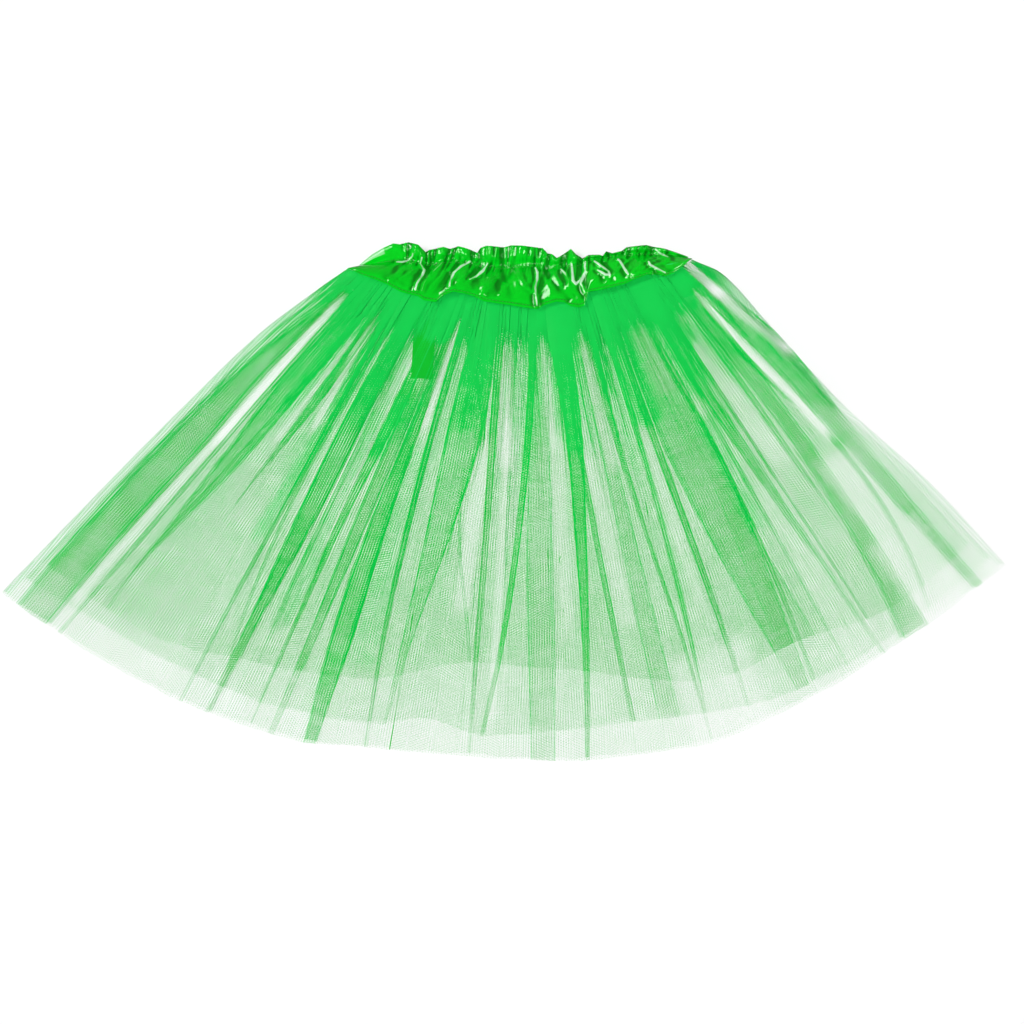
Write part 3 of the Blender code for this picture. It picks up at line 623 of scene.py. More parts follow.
def panel_tracks(panel, downs):
    """The strips of a panel with small gathers between them, from left to right."""
    rng = np.random.default_rng(PANELS.index(panel) + 11)
    none = np.zeros_like(downs)
    strips = [strip_track(strip, panel, downs) for strip in STRIPS
              if panel.code in strip.panels.split()]
    strips = ([Track(none + LEFT_EDGE + SIDE_MARGIN, none, 1, 1.0, True)] + strips
              + [Track(none + RIGHT_EDGE - SIDE_MARGIN, none, 1, 1.0, True)])
    tracks = []
    for left, right in zip(strips, strips[1:]):
        tracks.append(left)
        radius = panel_radius(panel.hem, left.angle[2], 0)
        arc = radians(right.angle[2] - left.angle[2]) * radius
        room = arc - (left.width[2] + right.width[2]) / 2
        count = max(int(room / GATHER_PITCH - 0.5), 0)
        per_metre = turn_per_metre(panel_radius(panel.hem, left.angle, downs))
        start = left.angle + left.width / 2 * per_metre
        end = right.angle - right.width / 2 * per_metre
        for i in range(count):
            share = (i + 1 + rng.uniform(-GATHER_JITTER, GATHER_JITTER)) / (count + 1)
            reach = mix(*GATHER_REACH, rng.uniform() ** 2)
            width = GATHER_WIDTH * rng.uniform(*GATHER_SPREAD)
            width = width * (1 - smooth_step(np.maximum(downs, 0) / reach))
            lean = 1 if rng.uniform() < GATHERS_RIGHT else -1
            tracks.append(Track(mix(start, end, share), width, lean, 1.0, False))
    return tracks[1:]


def fold_columns(track, width, shoulder, ramp):
    """Offset, lift, share of crease and whether it is inside, of each column of a soft z fold."""
    fullness = width / (width + HALF_RISEN)
    length = width + 2 * shoulder
    swing = FOLD_SWAY[0] * width + FOLD_SWAY[1] * shoulder * fullness
    turn = np.arccos(-np.minimum(length / (2 * pi * swing + 1e-9), 0.999)) / (2 * pi)
    shares, ramp_steps = ((FOLD_SHARES, STRIP_RAMP) if track.is_strip
                          else (GATHER_SHARES, GATHER_RAMP))
    columns = []
    for part, share, crease in shares:
        start = (0 * turn, turn, 1 - turn)[part]
        end = (turn, 1 - turn, 0 * turn + 1)[part]
        place = mix(start, end, share)
        offset = length * (place - 0.5) + swing * np.sin(2 * pi * place)
        inside = part == 1 or crease > 0
        columns.append((offset, smooth_step((place - 0.2) / 0.6) * fullness, crease, inside))
    for step in range(1, ramp_steps + 1):
        share = step / ramp_steps
        columns.append((length / 2 + ramp * share, (1 - smooth_step(share)) * fullness, 0,
                        False))
    if track.lean < 0:
        columns = [(-offset, *rest) for offset, *rest in reversed(columns)]
    return columns


def side_bend(turn):
    """How far in from a side fold it is part way round it, and the share of the drop to go."""
    if turn < SIDE_UPRIGHT:
        return 0.0, mix(1, SIDE_UPRIGHT, turn / SIDE_UPRIGHT)
    bend = (turn - SIDE_UPRIGHT) / (1 - SIDE_UPRIGHT) * pi / 2
    return SIDE_ROUND * (1 - cos(bend)), SIDE_UPRIGHT * (1 - sin(bend))


def side_columns(panel, side, downs, floor, owner):
    """The turned down side of a front panel, or the plain edge of a back one."""
    edge = LEFT_EDGE if side < 0 else RIGHT_EDGE
    per_metre = turn_per_metre(panel_radius(panel.hem, edge, downs))
    inset = panel.steps * LAYER_INSET
    drop = 0
    if panel.is_front:
        partner = next(p for p in PANELS if p.steps == panel.steps and not p.is_front)
        drop = floor - panel_floor(partner) - WALL
    columns = []
    for step in range(SIDE_STEPS + 1):
        turn = step / SIDE_STEPS
        place, share = side_bend(turn) if panel.is_front else (SIDE_ROUND * turn, 0)
        angle = edge - side * (inset + place) * per_metre
        crowd = mix(EDGE_CROWD, 1.0, smooth_step(turn * 1.2))
        columns.append((angle, floor - drop * share + 0 * angle, crowd + 0 * angle, owner))
    return columns


def fitted_widths(tracks, radius):
    """Widths of the folds, narrower where they would touch, and the gaps on their two sides."""
    widths = [track.width for track in tracks]
    pitches = [np.radians(after.angle - before.angle) * (radius[i] + radius[i + 1]) / 2
               for i, (before, after) in enumerate(zip(tracks, tracks[1:]))]
    for i, pitch in enumerate(pitches):
        room = np.maximum(pitch - LEAST_ROOM, LEAST_GAP)
        wanted = (widths[i] + widths[i + 1]) / 2
        scale = np.minimum(room / np.maximum(wanted, 1e-9), 1.0)
        widths[i] = widths[i] * scale
        widths[i + 1] = widths[i + 1] * scale
    gaps = [np.maximum(pitch - (widths[i] + widths[i + 1]) / 2, LEAST_GAP)
            for i, pitch in enumerate(pitches)]
    return widths, [gaps[0]] + gaps + [gaps[-1]]


def panel_columns(panel, downs):
    """Angle, height, crowding and nearest fold of every column of a panel, left to right."""
    tracks = panel_tracks(panel, downs)
    floor = panel_floor(panel)
    radius = [panel_radius(panel.hem, track.angle, downs) for track in tracks]
    widths, gaps = fitted_widths(tracks, radius)
    foot = smooth_step((downs - FOOT_START) / (1 - FOOT_START))
    creased = CREASE_CROWD * (1 - FOOT_CREASE * foot)
    rise = FOLD_HEIGHT * mix(SEAM_RISE, 1.0, smooth_step(downs / RISE_END))

    columns = side_columns(panel, -1, downs, floor, 0)
    for i, (track, width) in enumerate(zip(tracks, widths)):
        per_metre = turn_per_metre(radius[i])
        nearer = np.minimum(gaps[i], gaps[i + 1])
        shoulder = np.minimum(FOLD_SHOULDER, nearer * SHOULDER_SHARE)
        ramp = np.minimum(FOLD_RAMP, gaps[i + 1 if track.lean > 0 else i] * RAMP_SHARE)
        fold = fold_columns(track, width, shoulder, ramp)
        start = columns[-1][0]
        end = track.angle + fold[0][0] * per_metre
        is_wide = track.is_strip or i == 0 or tracks[i - 1].is_strip
        for share, after in FLAT_SHARES if is_wide else NARROW_SHARES:
            columns.append((mix(start, end, share), floor + 0 * end, 1.0 + 0 * end,
                            max(i - 1 + after, 0)))
        amount = np.minimum(width / FULL_FOLD, 1)
        strength = track.crowd * STRIP_CROWD if track.is_strip else GATHER_CROWD
        strength = mix(strength, 1.0, FOOT_OPENING * foot)
        for offset, lift, crease, inside in fold:
            folded = strength * (1 + crease * creased) if inside else 1.0
            columns.append((track.angle + offset * per_metre, floor + lift * rise,
                            mix(1.0, folded, amount), i))
    return columns + side_columns(panel, 1, downs, floor, len(tracks) - 1)[::-1]


def zone_crowding(x, y, zones):
    """How the open and the dense places of the net change its crowding."""
    radius = np.hypot(x - FAN_CENTRE.x, y - FAN_CENTRE.y)
    angle = np.degrees(np.arctan2(x - FAN_CENTRE.x, FAN_CENTRE.y - y))
    seam = smooth_curve(WAIST_SEAM, angle) * MM
    down = (radius - seam) / (smooth_curve(OUTER_HEM, angle) * MM - seam)
    crowd = np.ones_like(angle)
    for zone in zones:
        share = (down - zone.down0) / (zone.down1 - zone.down0)
        middle = mix(zone.angle0, zone.angle1, share)
        across = np.radians(angle - middle) * radius / (zone.width * MM)
        ends = smooth_step(share / ZONE_FADE + 1) * smooth_step((1 - share) / ZONE_FADE + 1)
        within = 1 - smooth_step((np.abs(across) - ZONE_SIDES[0]) / ZONE_SIDES[1])
        crowd *= mix(1.0, zone.share, within * ends)
    return crowd


def add_object(name, data):
    """An object of the scene, at the origin, with a bmesh as its mesh or other data."""
    if isinstance(data, bmesh.types.BMesh):
        mesh = bpy.data.meshes.new(name)
        data.to_mesh(mesh)
        data.free()
        data = mesh
    item = bpy.data.objects.new(name, data)
    bpy.context.scene.collection.objects.link(item)
    return item


def make_cloth(name, points, uvs, marks):
    """A grid of cloth with each point moved to its place; uvs are metres on the flat cloth.
    """
    rows, columns = points.shape[:2]
    bm = bmesh.new()
    bmesh.ops.create_grid(bm, x_segments=columns - 1, y_segments=rows - 1, size=0.5)
    item = add_object(name, bm)
    mesh = item.data
    flat = np.empty(columns * rows * 3, dtype=np.float32)
    mesh.vertices.foreach_get("co", flat)
    flat = flat.reshape(-1, 3)
    column = np.rint((flat[:, 0] + 0.5) * (columns - 1)).astype(int)
    row = np.rint((0.5 - flat[:, 1]) * (rows - 1)).astype(int)
    mesh.vertices.foreach_set("co", points[row, column].astype(np.float32).reshape(-1))
    loops = np.empty(len(mesh.loops), dtype=np.int32)
    mesh.loops.foreach_get("vertex_index", loops)
    flat_uv = uvs[row, column][loops].astype(np.float32)
    mesh.uv_layers.new(name="cloth").uv.foreach_set("vector", flat_uv.reshape(-1))
    for key, table in marks.items():
        attribute = mesh.attributes.new(key, "FLOAT", "POINT")
        attribute.data.foreach_set("value", table[row, column].astype(np.float32))
    mesh.update()
    mesh.shade_smooth()
    return item


def cloth_places(points, owners):
    """How far along its row each point lies on the flat cloth, level along its nearest fold."""
    across = np.cumsum(np.pad(spans(points, 1), ((0, 0), (1, 0))), axis=1)
    owners = np.array(owners)
    middles = np.array([np.flatnonzero(owners == owner).mean() for owner in owners])
    spread = across[:, np.rint(middles).astype(int)]
    return across - spread + spread[2:].mean(axis=0)


def net_crowding(angle, down, seed):
    """How the gathers at the seam, the streaks and the open hem change the net's crowding."""
    gathered = (1 + SEAM_CROWD[0] * (1 - smooth_step(down / SEAM_CROWD[1]))
                + SEAM_CROWD[2] * (1 - smooth_step(down / SEAM_CROWD[3])))
    fading = 1 - smooth_step(down / STREAK_REACH)
    fine, broad = (ripple(angle, spacing, seed + i, STREAKS)
                   for i, spacing in enumerate(STREAK_SPACING))
    streaks = np.exp(fine * fading + broad * mix(STREAK_REST, 1.0, fading))
    opening = mix(1.0, HEM_CROWD, smooth_step((down - HEM_START) / (1 - HEM_START)))
    return gathered * streaks * opening


def make_panel(panel):
    """One net panel in the space of its solid, with its folds and its crowding."""
    downs = row_shares()
    *parts, owners = zip(*panel_columns(panel, downs))
    angle, height, crowd = (np.stack(part, axis=1) for part in parts)
    down = downs[:, None] + 0 * angle
    down = np.where(down < 0, down * from_sides(angle, TUCK_SIDES), down)
    seed = PANELS.index(panel) * 7
    hem_wave = sum(ripple(angle, spacing, seed + 1 + i) * swing
                   for i, (spacing, swing) in enumerate(HEM_WAVES))
    radius = panel_radius(panel.hem, angle, down) + hem_wave * np.maximum(down, 0) ** 6
    x, y = fan_places(bowed(angle, np.maximum(down, 0)), radius)
    wave = ripple(angle + WAVE_SLANT * down, WAVE_SPACING, seed + 3, 0.5) + 0.5
    lifted = np.clip((height - panel_floor(panel)) / FOLD_HEIGHT, 0, 1)
    height = height + wave * from_sides(angle, WAVE_SIDES) * WAVE_HEIGHT * (1 - lifted)
    if panel.is_front:
        height = height - TUCK_SINK * np.clip(down / TUCK, 0, 1)
    points = np.stack([x, y, height], axis=2)

    zones = ZONES + [OVER_LABEL] * panel.is_front
    crowd = crowd * net_crowding(angle, down, seed + 4) * zone_crowding(x, y, zones)
    across = cloth_places(points, owners)
    uvs = np.stack([across, radius + across * NET_SKEW + seed * PLY_SHIFT], axis=2)
    return make_cloth(panel.node + "_net", points, uvs, {"crowd": crowd})


def band_downs():
    """Rows of the waistband, closest where the header rolls over and along the seam."""
    header = -1 + np.array([0, 0.02, 0.05, 0.09, 0.14, 0.2, 0.27, 0.34, 0.41, 0.48, 0.55, 0.62,
                            0.68, 0.74, 0.8, 0.85, 0.9, 0.94, 0.97])
    yoke = np.concatenate([np.linspace(0, 0.2, 11)[:-1], np.linspace(0.2, 0.88, 34)])
    seam = 1 - np.array([3.9, 3.3, 2.9, 2.6, 2.3, 2.0, 1.7, 1.3, 0.9, 0.5, 0.2, 0.0]) / YOKE_MM
    return np.concatenate([header, yoke, seam])


def band_sides(is_front):
    """Places along the waist with the share of the drop at the side folds."""
    length = (WAIST_RIGHT - WAIST_LEFT).length
    steps = SIDE_STEPS + 2
    side = [side_bend(step / steps) for step in range(steps + 1)]
    side = [(place / length, share) for place, share in side]
    if not is_front:
        side = [(place, 0.0) for place, share in side[-4:]]
    middle = np.linspace(side[-1][0], 1 - side[-1][0], BAND_COLUMNS)[1:-1]
    places, drops = np.array(side).T
    return (np.concatenate([places, middle, 1 - places[::-1]]),
            np.concatenate([drops, 0 * middle, drops[::-1]]))


def seam_places(along, past):
    """x and y of the yoke's seam, which lies past beyond the start of the tulle."""
    angle = mix(LEFT_EDGE, RIGHT_EDGE, along)
    radius = smooth_curve(WAIST_SEAM, angle) * MM + past
    return fan_places(bowed(angle, 0 * angle), radius)


def band_places(along, down, trim):
    """x and y over the waistband; trim pulls its outline in."""
    waist_x = mix(WAIST_LEFT.x, WAIST_RIGHT.x, along)
    waist_y = mix(WAIST_LEFT.y, WAIST_RIGHT.y, along)
    end = np.clip(1 - along / END_REACH, 0, 1)
    waist_x = waist_x - end * END_SHIFT[0]
    waist_y = waist_y - end * END_SHIFT[1]
    pinch = smooth_curve(ELASTIC_LINE, along) * MM
    top = np.interp(along, *np.array(HEADER_TOP).T) * MM - trim
    above = np.maximum(-down, 0)
    below = np.maximum(down, 0)
    seam_x, seam_y = seam_places(along, np.interp(along, *np.array(SEAM_LAP).T) * MM - trim)
    waist_x = waist_x - above * HEADER_SLOPE * end
    start_y = waist_y + pinch + above * (top - pinch)
    return mix(waist_x, seam_x, below), mix(start_y, seam_y, below)


def puff_heights(along):
    """How high the satin stands between two places where the elastic pinches it, 0 to 1."""
    heights = 0 * along
    for start, end, share in PUFFS:
        place = np.clip((along - start) / (end - start), 0, 1)
        heights += share * np.sin(pi * place) ** 2
    return heights


def ridge_heights(x, y):
    """Height and painted highlight of the creases at each place, each fading out at its two ends.
    """
    total = np.zeros_like(x)
    painted_highlight = np.zeros_like(x)
    for ridge in RIDGES:
        line = ridge.line
        lengths = spans(line)
        run = np.cumsum([0, *lengths])
        nearest = np.full(x.shape, 1.0)
        place = np.zeros_like(x)
        for i, (start, end) in enumerate(zip(line, line[1:])):
            dx, dy = end - start
            share = ((x - start[0]) * dx + (y - start[1]) * dy) / (dx * dx + dy * dy)
            share = np.clip(share, 0, 1)
            away = np.hypot(x - start[0] - share * dx, y - start[1] - share * dy)
            closer = away < nearest
            nearest = np.where(closer, away, nearest)
            place = np.where(closer, run[i] + share * lengths[i], place)
        ends = (smooth_step(place / RIDGE_FADE + 0.15)
                * smooth_step((run[-1] - place) / RIDGE_FADE + 0.15))
        across = bell(nearest, ridge.width * RIDGE_BREADTH * MM)
        total += ridge.height * RIDGE_SCALE * MM * across * ends
        # Painted highlight along the crease's crest
        shine = np.clip((ridge.height - PAINTED_HIGHLIGHT_HEIGHTS[0]) / PAINTED_HIGHLIGHT_HEIGHTS[1], 0, 1) * ends**2
        seed = len(lengths) + int(run[-1] * 1e5)
        shine = shine * (0.8 + 0.25 * ripple(place, PAINTED_HIGHLIGHT_SPOTS, seed))
        width = PAINTED_HIGHLIGHT_WIDTH * (0.6 + 0.4 * np.sin(pi * place / run[-1]) ** 2)
        painted_highlight = np.maximum(painted_highlight, shine * bell(nearest, width))
    return total, painted_highlight


def hollows(height):
    """How deep each place lies between its neighbours along the waist, from 0 to 1."""
    padded = np.pad(height, ((0, 0), (HOLLOW_REACH, HOLLOW_REACH)), mode="edge")
    count = 2 * HOLLOW_REACH + 1
    around = sum(padded[:, k:k + height.shape[1]] for k in range(count)) / count
    return np.clip((around - height) / HOLLOW_DEPTH, 0, 1)


def satin_gathers(along, down, seed):
    """Height of the pleats and the swells that the elastic gathers."""
    sharp, fine = PLEAT_SPACING
    pleats = (0.9 - 2.2 * np.abs(ripple(along + 0.012 * down, sharp, seed))
              + ripple(along, fine, seed + 1) * 0.85) * MM
    in_header = (0.75 + 0.25 * bell(down, 0.16)) * (down < 0)
    in_yoke = np.exp(-np.maximum(down, 0) / 0.2) * (down >= 0)
    broad, fine = SWELL_SPACING
    swell = 0.7 - 1.6 * np.abs(ripple(along * (1 + 0.1 * down) + 0.03 * down, broad, seed + 2))
    swell += 0.5 * ripple(along - 0.06 * down, fine, seed + 3)
    across_yoke = np.maximum(1 - np.abs(down - 0.4) / 0.6, 0)
    return pleats * (in_header + in_yoke) + swell * SWELL_HEIGHT * across_yoke


def band_shape(is_front, along, down, drops):
    """Points of one satin strip over its places along and down, with its painted highlight and
    shade.
    """
    x, y = band_places(along, down, 0 if is_front else BACK_TRIM)
    lift = smooth_curve(FRONT_LIFT, down) * MM if is_front else 0 * down
    puff = smooth_curve(FRONT_PUFF if is_front else BACK_PUFF, down) * MM
    seed = 90 if is_front else 95
    inner = (smooth_step((along - GATHERS_FROM[0]) / GATHERS_FROM[1])
             * smooth_step((GATHERS_TO[0] - along) / GATHERS_TO[1]))
    height = lift + puff * puff_heights(along) + satin_gathers(along, down, seed) * inner
    painted_highlight = 0 * height
    if is_front:
        ridges, painted_highlight = ridge_heights(x, y)
        height += ridges
        # Sheer strip at the left end, painted paler through the painted highlight's mark
        sheer = (smooth_step((SHEER_END - along) / SHEER_FADE[0])
                 * smooth_step((SHEER_FOOT - down) / SHEER_FADE[1]))
        painted_highlight = np.maximum(painted_highlight, SHEER_MARK * sheer)
    from_seam = (1 - down) * YOKE_MM - SEAM_STITCH_IN
    # Painted shade along the seam and along the elastic's pinch
    pinched_line = (bell(down, ELASTIC_LINE_WIDTH)
                    * (0.5 + 0.5 * ripple(along, ELASTIC_LINE_SPACING, seed + 5)))
    lines = SEAM_SHADE * np.maximum(bell(from_seam, SEAM_LINE_MM), pinched_line * inner)
    marks = {"painted_highlight": painted_highlight, "shade": np.maximum(hollows(height), lines)}
    roll = np.clip((-down - ROLL_START) / (1 - ROLL_START), 0, 1)
    height -= roll**2 * ROLL_DROP[0 if is_front else 1]
    height -= bell(from_seam, GROOVE_MM) * GROOVE_DEPTH
    height = SATIN_FLOOR + np.maximum(height, 0)
    if is_front:
        rest = SATIN_FLOOR + SATIN_WALL + FRONT_CLEAR
        height = np.maximum(mix(height, rest, drops), rest)
    return np.stack([x, y, height], axis=2), marks


def make_band(name, is_front):
    """One satin strip of the waistband, in front or behind."""
    along, drops = band_sides(is_front)
    points, marks = band_shape(is_front, *np.meshgrid(along, band_downs()), drops)
    across = np.cumsum([0, *spans(points, 1)[UV_ROW]])
    length = np.cumsum([0, *spans(points).mean(axis=1)])
    uvs = np.stack(np.meshgrid(across, length), axis=2)
    return make_cloth(name, points, uvs, marks)


def make_label(name):
    """The blank label: a narrow strip with a soft bend across it."""
    width, length = LABEL_SIZE
    across, down = np.meshgrid(np.linspace(-0.5, 0.5, 13), np.linspace(0, 1, 41))
    lean = radians(LABEL_LEAN)
    x = LABEL_TOP.x - sin(lean) * length * down + cos(lean) * width * across
    y = LABEL_TOP.y - cos(lean) * length * down - sin(lean) * width * across
    place, slant, reach, rise = LABEL_BEND
    bend = bell((down - place) * length + across * width * slant, reach)
    height = LABEL_HEIGHT + bend * rise + LABEL_ARCH * np.cos(across * pi)
    points = np.stack([x, y, height], axis=2)
    uvs = np.stack([across * width, down * length], axis=2)
    return make_cloth(name, points, uvs, {})


def stitch_line(level, past_mm):
    """A line on the satin: along the elastic (level 0) or in from the seam's edge (level 1)."""
    along, drops = band_sides(True)
    inner = (along > 0.02) & (along < 0.98)
    along, down = np.meshgrid(along[inner], level - past_mm / YOKE_MM)
    line = band_shape(True, along, down, drops[inner])[0][0]
    return line + (0, 0, STITCH_RAISE)


def make_stitches(name, line):
    """Short rounded stitches along a line of points on the cloth."""
    run = np.cumsum([0, *spans(line)])
    bm = bmesh.new()
    for middle in np.arange(STITCH_PITCH, run[-1] - STITCH_PITCH, STITCH_PITCH):
        ends = [Vector([np.interp(place, run, line[:, k]) for k in range(3)])
                for place in (middle - STITCH_LENGTH / 2, middle + STITCH_LENGTH / 2)]
        direction = ends[1] - ends[0]
        turn = direction.to_track_quat("X", "Z").to_matrix().to_4x4()
        made = bmesh.ops.create_uvsphere(bm, u_segments=6, v_segments=5, radius=0.5)
        size = Matrix.Diagonal((direction.length, STITCH_WIDTH, STITCH_WIDTH, 1))
        place = Matrix.Translation((ends[0] + ends[1]) / 2) @ turn @ size
        bmesh.ops.transform(bm, matrix=place, verts=made["verts"])
    item = add_object(name, bm)
    item.data.shade_smooth()
    return item


class Nodes:
    """Short helpers to lay nodes in a tree. Inputs are given as values or as sockets."""

    def __init__(self, tree):
        self.tree = tree

    def feed(self, place, value):
        if isinstance(value, bpy.types.NodeSocket):
            self.tree.links.new(value, place)
        elif isinstance(place.default_value, float):
            place.default_value = value
        else:
            place.default_value = (*value, 1)

    def fill(self, node, inputs):
        for key, value in inputs.items():
            self.feed(node.inputs[key], value)

    def add(self, kind, inputs=None, **settings):
        node = self.tree.nodes.new(kind)
        for key, value in settings.items():
            setattr(node, key, value)
        self.fill(node, inputs or {})
        return node

    def math(self, operation, *values):
        node = self.add("ShaderNodeMath", operation=operation)
        for place, value in zip(node.inputs, values):
            self.feed(place, value)
        return node.outputs[0]

    def blend(self, factor, start, end):
        """A colour between two."""
        inputs = {"Factor": factor, "A": start, "B": end}
        return self.add("ShaderNodeMix", inputs, data_type="RGBA").outputs["Result"]

    def remap(self, value, start, end, low=0.0, high=1.0):
        """Low to high while the value goes from start to end."""
        inputs = {"Value": value, "From Min": start, "From Max": end, "To Min": low,
                  "To Max": high}
        return self.add("ShaderNodeMapRange", inputs).outputs["Result"]

    def mark(self, name):
        return self.add("ShaderNodeAttribute", attribute_name=name).outputs["Fac"]

    def cloth(self):
        return self.add("ShaderNodeUVMap", uv_map="cloth").outputs[0]


def cloth_group(name, sizes, result):
    """A node group on the cloth's own coordinates.

    Returns its helper, its inputs, the place across and along counted in pitches, and the
    input of its output node.
    """
    group = bpy.data.node_groups.new(name, "ShaderNodeTree")
    group.interface.new_socket("Cloth", in_out="INPUT", socket_type="NodeSocketVector")
    for key, value in sizes.items():
        made = group.interface.new_socket(key, in_out="INPUT", socket_type="NodeSocketFloat")
        made.default_value = value
    group.interface.new_socket(result, in_out="OUTPUT", socket_type="NodeSocketFloat")
    lay = Nodes(group)
    given = lay.add("NodeGroupInput").outputs
    split = lay.add("ShaderNodeSeparateXYZ", {"Vector": given["Cloth"]}).outputs
    across, along = (lay.math("DIVIDE", split[k], given["Pitch"]) for k in range(2))
    return lay, given, across, along, lay.add("NodeGroupOutput").inputs[result]


def net_group():
    """Net mask: columns of thread with staggered links between them."""
    sizes = {"Pitch": 0.0017, "Thread": 0.00012, "Crowd": 1.0}
    lay, given, across, along, out = cloth_group("tulle net", sizes, "Mask")
    column = lay.math("FLOOR", across)
    stagger = lay.math("MULTIPLY", lay.math("FLOORED_MODULO", column, 2.0), 0.5)
    share = lay.math("DIVIDE", given["Thread"], given["Pitch"])
    half = lay.math("MULTIPLY", lay.math("MULTIPLY", share, given["Crowd"]), 0.5)
    masks = []
    for place in (across, lay.math("ADD", along, stagger)):
        centred = lay.math("ABSOLUTE", lay.math("SUBTRACT", lay.math("FRACT", place), 0.5))
        masks.append(lay.math("LESS_THAN", centred, half))
    lay.feed(out, lay.math("MAXIMUM", *masks))
    return lay.tree


def weave_group():
    """Fine satin weave: long floats in staggered rows."""
    lay, _, across, along, out = cloth_group("satin weave", {"Pitch": 0.0004}, "Floats")
    thread = lay.math("ABSOLUTE", lay.math("SINE", lay.math("MULTIPLY", across, pi)))
    column = lay.math("FLOOR", across)
    start = lay.math("MULTIPLY", lay.math("FLOORED_MODULO", column, 5.0), 0.4)
    place = lay.math("FRACT", lay.math("ADD", lay.math("MULTIPLY", along, 0.2), start))
    dip = lay.math("LESS_THAN", place, 0.12)
    lay.feed(out, lay.math("SUBTRACT", thread, lay.math("MULTIPLY", dip, 0.6)))
    return lay.tree


def new_material(name):
    """A material with the helper for its nodes and its shader."""
    material = bpy.data.materials.new(name)
    material.use_nodes = True
    return material, Nodes(material.node_tree), material.node_tree.nodes["Principled BSDF"]


def dimmed(colour, share):
    return [part * share for part in colour]


def tulle_material(name, group, colour, pitch, thread):
    """Net of thread, through which part of the light falls."""
    material, lay, shader = new_material(name)
    crowd = lay.mark("crowd")
    inputs = {"Cloth": lay.cloth(), "Pitch": pitch, "Thread": thread, "Crowd": crowd}
    mask = lay.add("ShaderNodeGroup", inputs, node_tree=group).outputs["Mask"]
    seen = lay.add("ShaderNodeLightPath").outputs["Is Camera Ray"]
    passing = lay.math("ADD", lay.math("MULTIPLY", seen, 1 - LIGHT_SHARE), LIGHT_SHARE)
    # Painted shade: the thread where the net is thin is darker and yellower
    thin = [part * dim for part, dim in zip(colour, THIN_PAINTED_SHADE)]
    lay.fill(shader, {
        "Base Color": lay.blend(lay.remap(crowd, *THIN_CROWD), thin, colour),
        "Alpha": lay.math("MULTIPLY", mask, passing),
        "Roughness": 0.6,
        "Specular IOR Level": 0.04,
    })
    return material


def satin_material(name, weave, colour, roughness, specular):
    """Woven ribbon or satin, with painted shade in its hollows and a painted highlight along its
    creases.
    """
    material, lay, shader = new_material(name)
    cloth = lay.cloth()
    floats = lay.add("ShaderNodeGroup", {"Cloth": cloth}, node_tree=weave).outputs["Floats"]
    bump = lay.add("ShaderNodeBump", {"Height": floats, "Strength": 0.04, "Distance": 0.00008})
    noise = lay.add("ShaderNodeTexNoise", {"Vector": cloth, "Scale": 60.0, "Detail": 3.0})
    cloud = noise.outputs["Fac"]
    base = lay.blend(cloud, *(dimmed(colour, share) for share in CLOUD_SHADES))
    # Painted shade in the hollows and along the seam and the elastic
    base = lay.blend(lay.mark("shade"), base, dimmed(colour, HOLLOW_SHADE))
    # Painted highlight mixed into the colour along the creases
    painted_highlight = lay.remap(lay.mark("painted_highlight"), *PAINTED_HIGHLIGHT_MARKS, high=PAINTED_HIGHLIGHT_PEAK)
    lay.fill(shader, {
        "Base Color": lay.blend(painted_highlight, base, PAINTED_HIGHLIGHT_COLOUR),
        "Normal": bump.outputs["Normal"],
        "Roughness": lay.remap(cloud, 0.0, 1.0, roughness - ROUGHNESS_SPREAD,
                               roughness + ROUGHNESS_SPREAD),
        "Specular IOR Level": specular,
    })
    return material


def thread_material(name, colour):
    """Twisted sewing thread."""
    material, lay, shader = new_material(name)
    place = lay.add("ShaderNodeTexCoord").outputs["Object"]
    twist = lay.add("ShaderNodeTexWave", {"Vector": place, "Scale": 900.0}).outputs["Fac"]
    base = lay.blend(twist, dimmed(colour, TWIST_SHADE), colour)
    lay.fill(shader, {"Base Color": base, "Roughness": 0.6})
    return material


def finish_piece(item, material, nodes=()):
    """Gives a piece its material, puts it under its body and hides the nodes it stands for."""
    item.data.materials.append(material)
    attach(item, ROOT)
    for node in nodes:
        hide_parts(node)


class TutuSettings(bpy.types.PropertyGroup):
    """Sizes and colours of the tutu."""

    tulle_colour: bpy.props.FloatVectorProperty(
        name="Tulle", description="Colour of the net's thread", subtype="COLOR", size=3,
        min=0, max=1, default=(0.006, 0.58, 0.073))
    satin_colour: bpy.props.FloatVectorProperty(
        name="Satin", description="Colour of the waistband", subtype="COLOR", size=3,
        min=0, max=1, default=(0.001, 0.6, 0.014))
    label_colour: bpy.props.FloatVectorProperty(
        name="Label", description="Colour of the care label", subtype="COLOR", size=3,
        min=0, max=1, default=(0.001, 0.5, 0.02))
    thread_colour: bpy.props.FloatVectorProperty(
        name="Thread", description="Colour of the sewing thread", subtype="COLOR", size=3,
        min=0, max=1, default=(0.001, 0.25, 0.01))
    net_pitch: bpy.props.FloatProperty(
        name="Net pitch", description="Distance between two columns of the net",
        default=2.0 * MM, unit="LENGTH")
    net_thread: bpy.props.FloatProperty(
        name="Net thread", description="Thickness of the net's thread",
        default=0.129 * MM, unit="LENGTH")


class MakeTulle(bpy.types.Operator):
    """Makes the six net panels of the skirt"""

    bl_idname = "tutu.make_tulle"
    bl_label = "Make tulle panels"

    def execute(self, context):
        settings = context.scene.tutu
        material = tulle_material("tulle", net_group(), settings.tulle_colour,
                                  settings.net_pitch, settings.net_thread)
        for panel in PANELS:
            item = make_panel(panel)
            finish_piece(item, material, [panel.node])
        return {"FINISHED"}


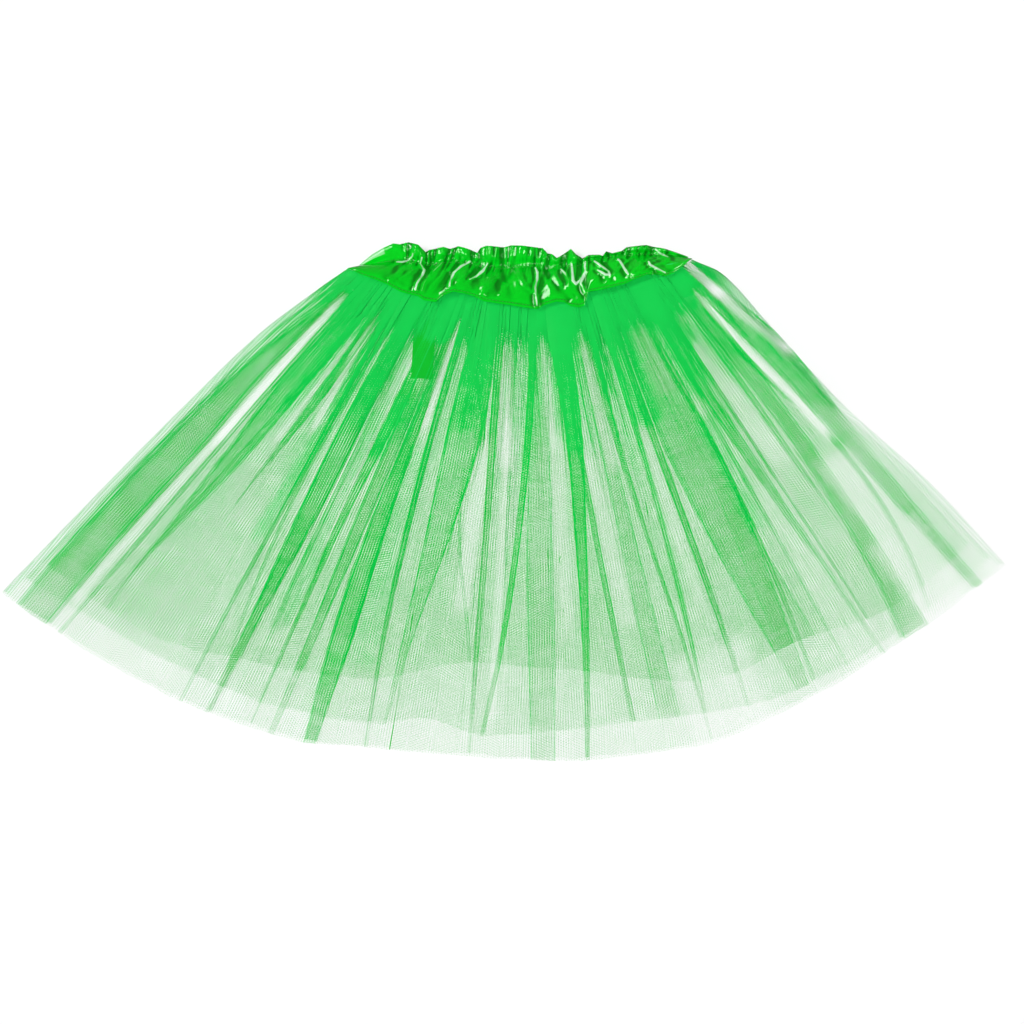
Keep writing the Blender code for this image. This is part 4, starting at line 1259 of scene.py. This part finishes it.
class MakeWaistband(bpy.types.Operator):
    """Makes the two satin strips with their ruffled header and their stitching"""

    bl_idname = "tutu.make_waistband"
    bl_label = "Make waistband"

    def execute(self, context):
        settings = context.scene.tutu
        satin = satin_material("satin", weave_group(), settings.satin_colour,
                               roughness=0.09, specular=0.2)
        thread = thread_material("sewing thread", settings.thread_colour)
        for node, is_front, below in (("waistband_back", False, "floor"),
                                      ("waistband_front", True, "tulle_outer_front_net")):
            item = make_band(node + "_satin", is_front)
            finish_piece(item, satin, [node])
        for name, level, past in (("seam", 1.0, SEAM_STITCH_IN),
                                  ("elastic", 0.0, ELASTIC_STITCH_IN)):
            item = make_stitches(name + "_stitches", stitch_line(level, past))
            finish_piece(item, thread)
        return {"FINISHED"}


class MakeCareLabel(bpy.types.Operator):
    """Makes the blank care label that hangs from the waist seam"""

    bl_idname = "tutu.make_care_label"
    bl_label = "Make care label"

    def execute(self, context):
        ribbon = satin_material("label ribbon", bpy.data.node_groups["satin weave"],
                                context.scene.tutu.label_colour, roughness=0.6,
                                specular=0.04)
        item = make_label("care_label_ribbon")
        finish_piece(item, ribbon, ["care_label"])
        return {"FINISHED"}


class MakeStage(bpy.types.Operator):
    """Makes the floor, the lights and the camera"""

    bl_idname = "tutu.make_stage"
    bl_label = "Make stage"

    def execute(self, context):
        bm = bmesh.new()
        bmesh.ops.create_grid(bm, x_segments=1, y_segments=1, size=FLOOR_REACH)
        bmesh.ops.translate(bm, verts=bm.verts, vec=(0, 0, -FLOOR_DROP))
        floor = add_object("floor", bm)
        floor.visible_glossy = False
        material, lay, shader = new_material("floor")
        lay.fill(shader, {"Base Color": (0.9, 0.9, 0.9), "Roughness": 0.9})
        floor.data.materials.append(material)

        world = bpy.data.worlds.new("studio")
        world.use_nodes = True
        background = world.node_tree.nodes["Background"]
        background.inputs["Color"].default_value = (1, 1, 1, 1)
        background.inputs["Strength"].default_value = WORLD_STRENGTH
        context.scene.world = world

        for row in SUNS + SOFT_BOXES:
            name, tilt, turn, spread, strength = row
            light = bpy.data.lights.new(name, "SUN")
            light.angle = radians(spread)
            light.energy = strength
            sun = add_object(name, light)
            sun.rotation_euler = (radians(tilt), 0, radians(turn))
            sun.visible_diffuse = row in SUNS
            sun.visible_glossy = row in SOFT_BOXES

        camera = bpy.data.cameras.new("camera")
        camera.lens = LENS_MM
        camera.sensor_width = SENSOR_MM
        holder = add_object("camera", camera)
        span = PHOTO_PIXELS * PIXEL
        middle = (CAD_BOX[0][2] + CAD_BOX[1][2]) / 2
        holder.location = (IMAGE_CENTRE.x, IMAGE_CENTRE.y, middle + span * LENS_MM / SENSOR_MM)
        context.scene.camera = holder
        context.scene.view_settings.view_transform = "Standard"
        context.scene.cycles.transparent_max_bounces = NET_PASSES
        return {"FINISHED"}


class TutuPanel(bpy.types.Panel):
    """Lists the tutu's settings and the operators that make it"""

    bl_idname = "VIEW3D_PT_tutu"
    bl_label = "Tutu"
    bl_space_type = "VIEW_3D"
    bl_region_type = "UI"
    bl_category = "Tutu"

    def draw(self, context):
        column = self.layout.column()
        for name in TutuSettings.__annotations__:
            column.prop(context.scene.tutu, name)
        for operator in (MakeStage, MakeTulle, MakeWaistband, MakeCareLabel):
            column.operator(operator.bl_idname)


CLASSES = (TutuSettings, MakeTulle, MakeWaistband, MakeCareLabel, MakeStage, TutuPanel)


def register():
    for cls in CLASSES:
        bpy.utils.register_class(cls)
    bpy.types.Scene.tutu = bpy.props.PointerProperty(type=TutuSettings)


def unregister():
    del bpy.types.Scene.tutu
    for cls in reversed(CLASSES):
        bpy.utils.unregister_class(cls)


def main():
    register()
    bpy.ops.tutu.make_stage()
    bpy.ops.tutu.make_tulle()
    bpy.ops.tutu.make_waistband()
    bpy.ops.tutu.make_care_label()


if __name__ == "__main__":
    main()
